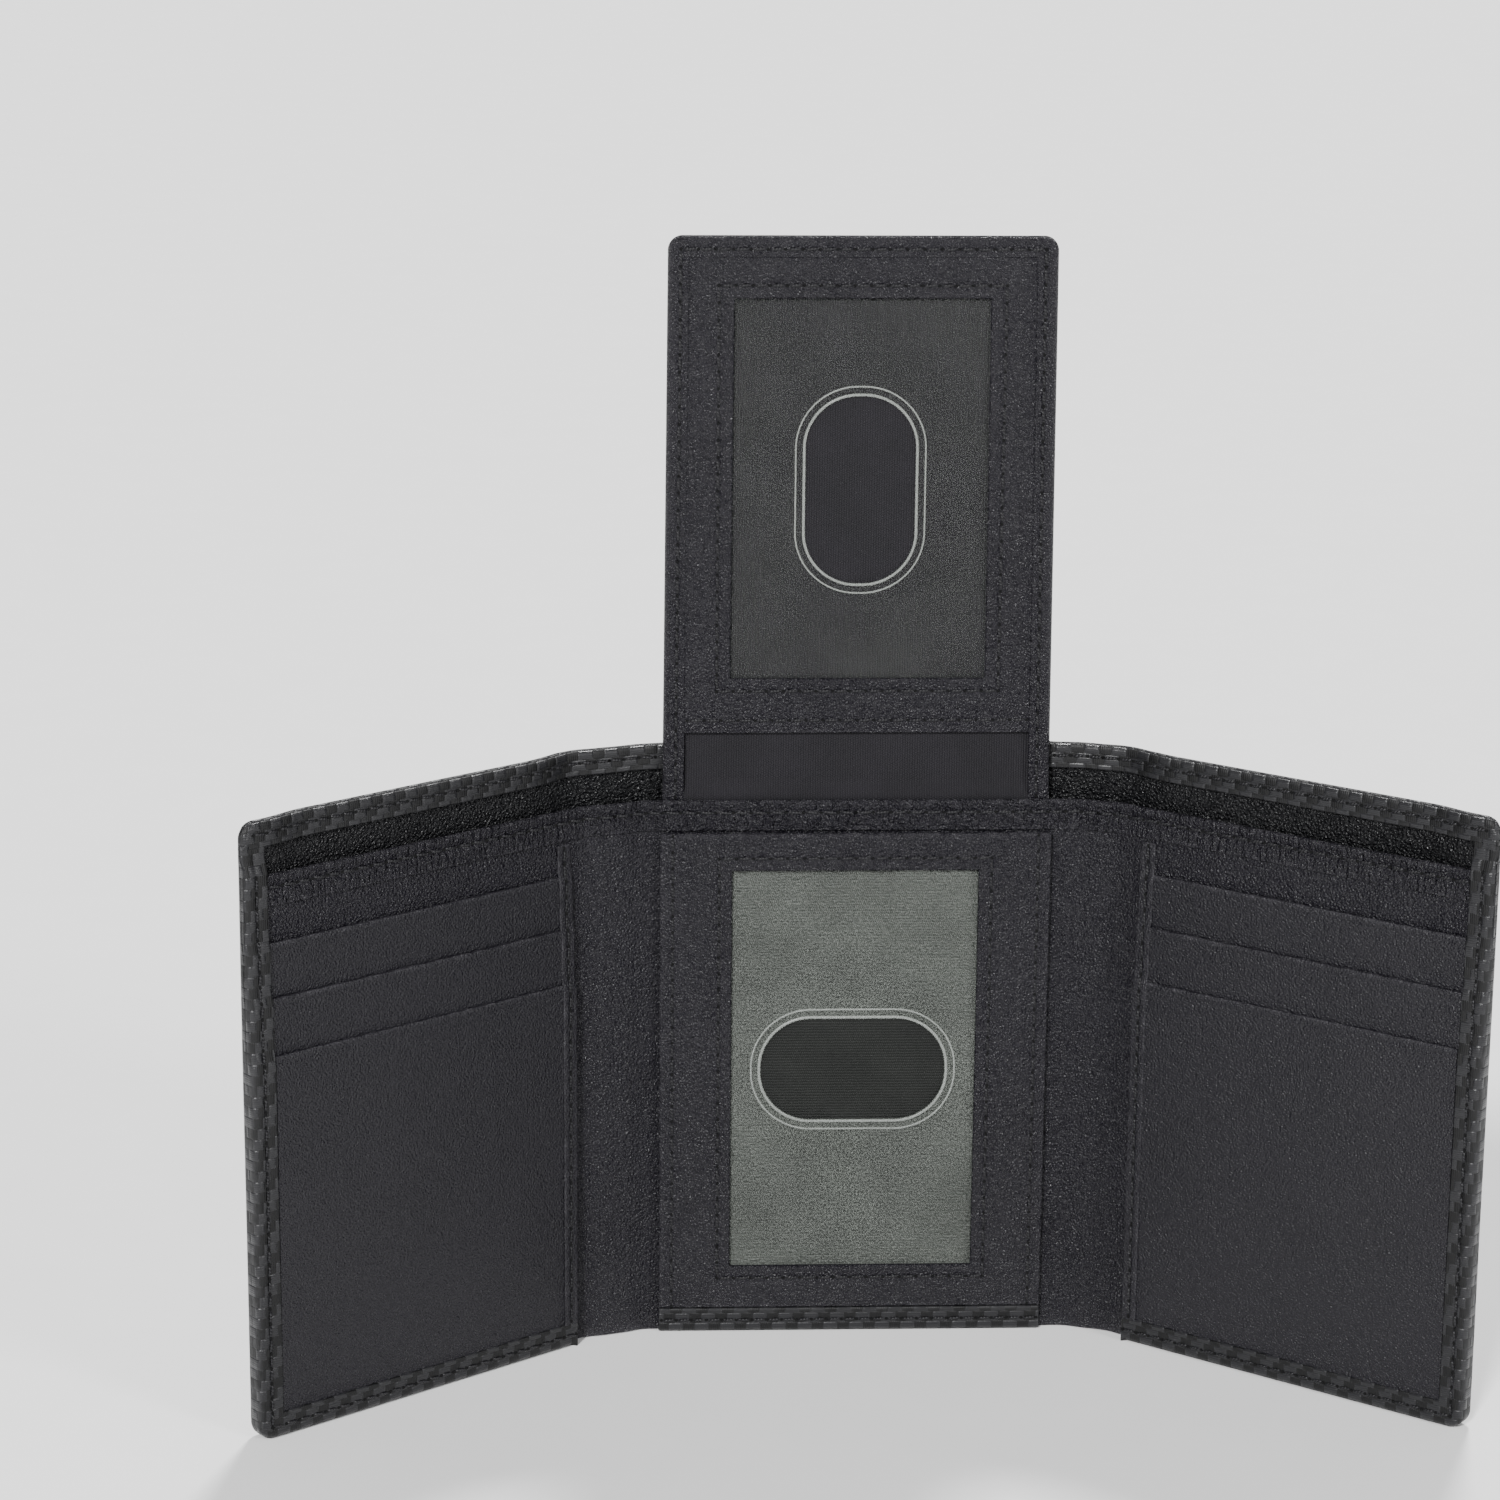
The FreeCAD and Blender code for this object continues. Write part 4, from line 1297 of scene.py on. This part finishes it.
def flap_back_leather():
    half = FLAP_HALF_ROOT
    low = DIVIDER_TOP - 12
    outline = Outline((-half, half), (low, FLAP_TOP), ("inner", "outer", "low", "top"),
                      (("inner", "top"), ("outer", "top")), 2.6)
    middle = (FLAP_FRONT + FLAP_REAR) / 2

    def surfaces(u, z, inset):
        face = flap_rear(z) - 0.06 + ripple(u, z, 2.9, 0.04)
        above = z > DIVIDER_TOP + 2
        back = face - np.where(above, rim(inset, 0.8), rim(inset, 0.25))
        back = back - groove(np.minimum(half - np.abs(u), FLAP_TOP - z) - SEAM_INSET) * above
        front = face - 0.36
        front = np.where(above & (inset < 0.5), middle - OVERLAP, front)
        return np.minimum(front, back - THINNEST), back, face

    u_lines = grid_lines(-half, half, 1.4, 0.8, 0.8, marks=(-half + SEAM_INSET, half - SEAM_INSET))
    z_lines = np.union1d(
        grid_lines(low, FLAP_TOP, 1.4, 0.25, 0.8, marks=(FLAP_TOP - SEAM_INSET,)),
        np.arange(FLAP_BEND[0] - 1, FLAP_BEND[1] + 1, 0.3).round(3),
    )
    made = tapered(leaf(outline, u_lines, z_lines, surfaces))
    attach(
        piece("flap_back_leather", made, standing=True), "strip",
        ["flap_back", "flap_hinge_tail"], across=FLAP_CALL,
    )


def flap_border():
    """The back leather turned round the flap's edges to the front."""
    half = FLAP_HALF_ROOT
    low = DIVIDER_TOP - 1.6
    inner = half - FLAP_BORDER
    outline = Outline((-half, half), (low, FLAP_TOP), ("inner", "outer", "top"),
                      (("inner", "top"), ("outer", "top")), 2.6)
    middle = (FLAP_FRONT + FLAP_REAR) / 2

    def surfaces(u, z, inset):
        face = FLAP_FRONT + 0.03 + ripple(u, z, 0.5, 0.04)
        from_inner = np.maximum(np.abs(u) - inner, z - FLAP_TOP + FLAP_BORDER)
        front = face + rim(inset, 0.8) + rim(np.maximum(from_inner, 0), 0.25)
        front = front + groove(np.minimum(half - np.abs(u), FLAP_TOP - z) - SEAM_INSET, 0.08)
        above = z > DIVIDER_TOP + 2
        back = np.where(above & (inset < 0.5), middle + OVERLAP, FLAP_FRONT + 0.36)
        return front, np.maximum(back, front + THINNEST), face

    def keep(u, z):
        return (np.abs(u) > inner) | (z > FLAP_TOP - FLAP_BORDER)

    u_marks = [sign * value for sign in (-1, 1) for value in (inner, inner + 0.25, half - SEAM_INSET)]
    u_lines = grid_lines(-half, half, 1.4, 0.8, 0.8, marks=u_marks)
    z_lines = np.union1d(
        grid_lines(low, FLAP_TOP, 1.4, 0.0, 0.8, marks=(FLAP_TOP - SEAM_INSET, FLAP_TOP - FLAP_BORDER)),
        np.arange(FLAP_BEND[0], FLAP_BEND[1] + 1, 0.3).round(3),
    )
    made = tapered(leaf(outline, u_lines, z_lines, surfaces, keep))
    attach(piece("flap_border", made, standing=True), "strip", across=FLAP_CALL)


def flap_pocket():
    half = FLAP_HALF_ROOT - FLAP_BORDER + 0.7
    top = FLAP_TOP - FLAP_BORDER + 0.7
    outline = Outline((-half, half), (FLAP_MOUTH, top), ("low",))
    frame_front = FLAP_FRONT + 0.22
    mouth_seam = FLAP_MOUTH + SEAM_INSET

    def seams(u, z):
        return np.minimum(
            np.abs(square_from_window(u, z, FLAP_WINDOW) - SEAM_INSET), np.abs(z - mouth_seam)
        )

    made = tapered(framed_leaf(outline, FLAP_WINDOW, frame_front, 0.36, 0.25, seams, 1.9))
    attach(piece("flap_pocket_frame", made, standing=True), "strip", ["flap_frame"], body="flap")

    middle = (FLAP_WINDOW[1] + FLAP_WINDOW[2]) / 2
    slot = (SLOT_HALVES[1], SLOT_HALVES[0], SLOT_HALVES[2])
    plate = (FLAP_HALF_TIP - 1.6, middle - FLAP_MOUTH - 1.2)
    made = window_ring(middle, slot, plate, (FLAP_VINYL[0] + 0.03, FLAP_VINYL[1]), 1.7)
    vinyl = piece("flap_pocket_vinyl", made, standing=True, sharp=70)
    attach(vinyl, "flap_vinyl", ["flap_window"], body="flap")

    cloth_half = FLAP_HALF_ROOT - 1.2
    back = Outline((-cloth_half, cloth_half), (DIVIDER_TOP - 1.4, FLAP_TOP - 1.3), ())

    def cloth(u, z, inset):
        face = FLAP_LINING[0] + ripple(u, z, 2.9, 0.04) - flap_step(z)
        return face, face + 0.1, face

    z_lines = np.union1d(
        grid_lines(*back.z, 2.0), np.arange(FLAP_BEND[0], FLAP_BEND[1] + 1, 0.3).round(3)
    )
    made = tapered(leaf(back, grid_lines(*back.u, 2.0), z_lines, cloth))
    made_object = attach(
        piece("flap_cloth", made, standing=True), "flap_cloth", ["flap_lining"], across=FLAP_CALL
    )

    rows = window_rows(FLAP_WINDOW)
    rows.append(((-half + 1.2, mouth_seam), (half - 1.2, mouth_seam)))
    made = stitches(rows, lambda u, z: frame_front + 0.1 + ripple(u, z, 1.9, 0.07), -1, INSIDE_PITCH)
    attach(piece("flap_pocket_stitches", made, standing=True), "thread", ["flap_window_thread"], body="flap")

    edge = FLAP_HALF_ROOT - SEAM_INSET
    high = FLAP_TOP - SEAM_INSET
    rows = [
        ((-edge, DIVIDER_TOP + 0.4), (-edge, high)), ((-edge, high), (edge, high)),
        ((edge, high), (edge, DIVIDER_TOP + 0.4)),
    ]
    made = tapered(stitches(rows, lambda u, z: FLAP_FRONT + 0.09 + ripple(u, z, 0.5, 0.04), -1, INSIDE_PITCH))
    attach(piece("flap_edge_stitches", made, standing=True), "thread", ["flap_edge_thread"], across=FLAP_CALL)
    made = tapered(stitches(rows, lambda u, z: flap_rear(z) - 0.14, 1, INSIDE_PITCH))
    attach(piece("flap_back_stitches", made, standing=True), "thread", across=FLAP_CALL)


# ---------------------------------------------------------------- stitching of the body
def body_stitches(side):
    """Rows along the divider's band, the mouth of the compartment, the hems and the binding."""
    start, end, spine = STACK_START[side], WING_END[side], MID_SPINE[side]
    band_z = DIVIDER_TOP - SEAM_INSET
    top_z = COVER_TOP - SEAM_INSET
    edge_u = end - SEAM_INSET

    def band(u, z):
        return DIVIDER_FRONT - BAND_THICK + BAND_GROOVE - 0.02 + ripple(u * MIRROR[side], z, 1.7, 0.04)

    def outside(u, z):
        return cover_face(side, u, z) - 0.06

    def mouth(u, z):
        return lining_face(side, u, z) - HEM_THICK + 0.06

    def hem(u, z):
        return hem_face(z) + 0.06

    def sew(name, rows, face, facing, pitch, layer, nodes, outer=None, body=None):
        across = None if outer is None else fold_call(side, layer, outer)
        made = stitches(rows, face, facing, pitch)
        attach(piece(name, made, side, layer), "thread", nodes, body=body, across=across)

    centre = side == "left"
    sew(f"{side}_band_stitches", [((0, band_z), (spine, band_z))], band, -1, INSIDE_PITCH, "front",
        ["centre_divider_thread"] if centre else [], outer=False)
    sew(f"{side}_wing_band_stitches", [((spine, band_z), (end - HEM_WIDTH, band_z))], band, -1,
        INSIDE_PITCH, "front", [f"{side}_wing_divider_thread"], outer=True)
    sew(f"{side}_mouth_stitches", [((0, top_z), (spine, top_z))], mouth, -1, OUTSIDE_PITCH, "back",
        [], outer=False)
    sew(f"{side}_wing_mouth_stitches", [((spine, top_z), (edge_u, top_z))], mouth, -1, OUTSIDE_PITCH,
        "back", [], outer=True)
    sew(f"{side}_back_stitches", [((0, top_z), (spine, top_z)), ((0, SEAM_INSET), (PANEL_HALF, SEAM_INSET))],
        outside, 1, OUTSIDE_PITCH, "back",
        [f"{side}_spine_cover_thread"] + (["centre_cover_thread"] if centre else []), outer=False)
    sew(f"{side}_wing_back_stitches",
        [((spine, top_z), (edge_u, top_z)), ((edge_u, top_z), (edge_u, SEAM_INSET)),
         ((edge_u, SEAM_INSET), (start, SEAM_INSET))],
        outside, 1, OUTSIDE_PITCH, "back", [f"{side}_wing_cover_thread"], outer=True)
    sew(f"{side}_hem_stitches",
        [((start + 0.4, SEAM_INSET), (edge_u, SEAM_INSET)), ((edge_u, SEAM_INSET), (edge_u, DIVIDER_TOP))],
        hem, -1, OUTSIDE_PITCH, "front", [f"{side}_wing_hem_thread"], body=f"{side}_wing")
    sew(f"{side}_binding_stitches",
        [((start + 1.6, HEM_WIDTH + 0.4), (start + 1.6, BAND_LOW - 1.2))],
        lambda u, z: binding_face(z) + 0.04, -1, INSIDE_PITCH, "front",
        [f"{side}_wing_binding_thread"], body=f"{side}_wing")


def centre_hem_stitches():
    row = [((-PANEL_HALF + 0.5, SEAM_INSET + 0.1), (PANEL_HALF - 0.5, SEAM_INSET + 0.1))]
    made = stitches(row, lambda u, z: FRAME_FRONT + 0.08 + ripple(u, z, 1.1, 0.05), -1, OUTSIDE_PITCH)
    attach(piece("centre_hem_stitches", made), "thread", ["centre_hem_thread"], body="centre")


for side in SIDES:
    outer_cover(side)
    top_hems(side)
    wing_hem(side)
    bill_linings(side)
    divider_leather(side)
    divider_band(side)
    card_slots(side)
    edge_binding(side)
    body_stitches(side)
centre_hem()
centre_hem_stitches()
stiffeners()
centre_pocket()
flap_back_leather()
flap_border()
flap_pocket()


# ---------------------------------------------------------------- floor, light and camera
def floor():
    mesh = bpy.data.meshes.new("studio_floor")
    reach = 6.0
    corners = [(-reach, -reach, 0), (reach, -reach, 0), (reach, reach, 0), (-reach, reach, 0)]
    mesh.from_pydata(corners, [], [(0, 1, 2, 3)])
    made_object = bpy.data.objects.new("studio_floor", mesh)
    bpy.context.scene.collection.objects.link(made_object)
    material = bpy.data.materials.new("pale_floor")
    material.use_nodes = True
    tree = Tree(material.node_tree)
    shader = next(node for node in tree.tree.nodes if node.type == "BSDF_PRINCIPLED")
    speckle = tree.noise(tree.add("ShaderNodeTexCoord").outputs["Object"], 60.0, 3.0)
    tree.set(shader.inputs["Base Color"], tree.mix(speckle, (0.86, 0.86, 0.86), (0.9, 0.9, 0.9)))
    shader.inputs["Roughness"].default_value = 0.8
    mesh.materials.append(material)


def soft_light(name, azimuth, elevation, strength, softness):
    """An even, far light from an azimuth (0 is the front, positive to the right) and an elevation."""
    light = bpy.data.lights.new(name, "SUN")
    light.energy = strength
    light.angle = math.radians(softness)
    lamp = bpy.data.objects.new(name, light)
    bpy.context.scene.collection.objects.link(lamp)
    lamp.rotation_euler = (math.radians(90 - elevation), 0, math.radians(azimuth))


def studio():
    world = bpy.data.worlds.new("studio")
    world.use_nodes = True
    background = next(node for node in world.node_tree.nodes if node.type == "BACKGROUND")
    background.inputs["Color"].default_value = (1.0, 1.0, 1.0, 1.0)
    background.inputs["Strength"].default_value = 0.35
    bpy.context.scene.world = world
    soft_light("key", -22, 36, 4.4, 9)
    soft_light("fill", 48, 24, 1.4, 12)
    soft_light("top_back", 165, 56, 3.6, 8)


def camera():
    data = bpy.data.cameras.new("camera")
    data.lens = 106.05
    made_object = bpy.data.objects.new("camera", data)
    bpy.context.scene.collection.objects.link(made_object)
    azimuth, elevation, roll = math.radians(-2.5), math.radians(15.3), math.radians(0.48)
    away = Vector((
        math.sin(azimuth) * math.cos(elevation),
        -math.cos(azimuth) * math.cos(elevation),
        math.sin(elevation),
    ))
    target = Vector((-18.95, FRAME_FRONT + FOLD_Y, 110.1)) * MM
    made_object.location = target + away * 0.777
    turn = (-away).to_track_quat("-Z", "Y").to_matrix() @ Matrix.Rotation(roll, 3, "Z")
    made_object.rotation_euler = turn.to_euler()
    bpy.context.scene.camera = made_object


floor()
studio()
camera()
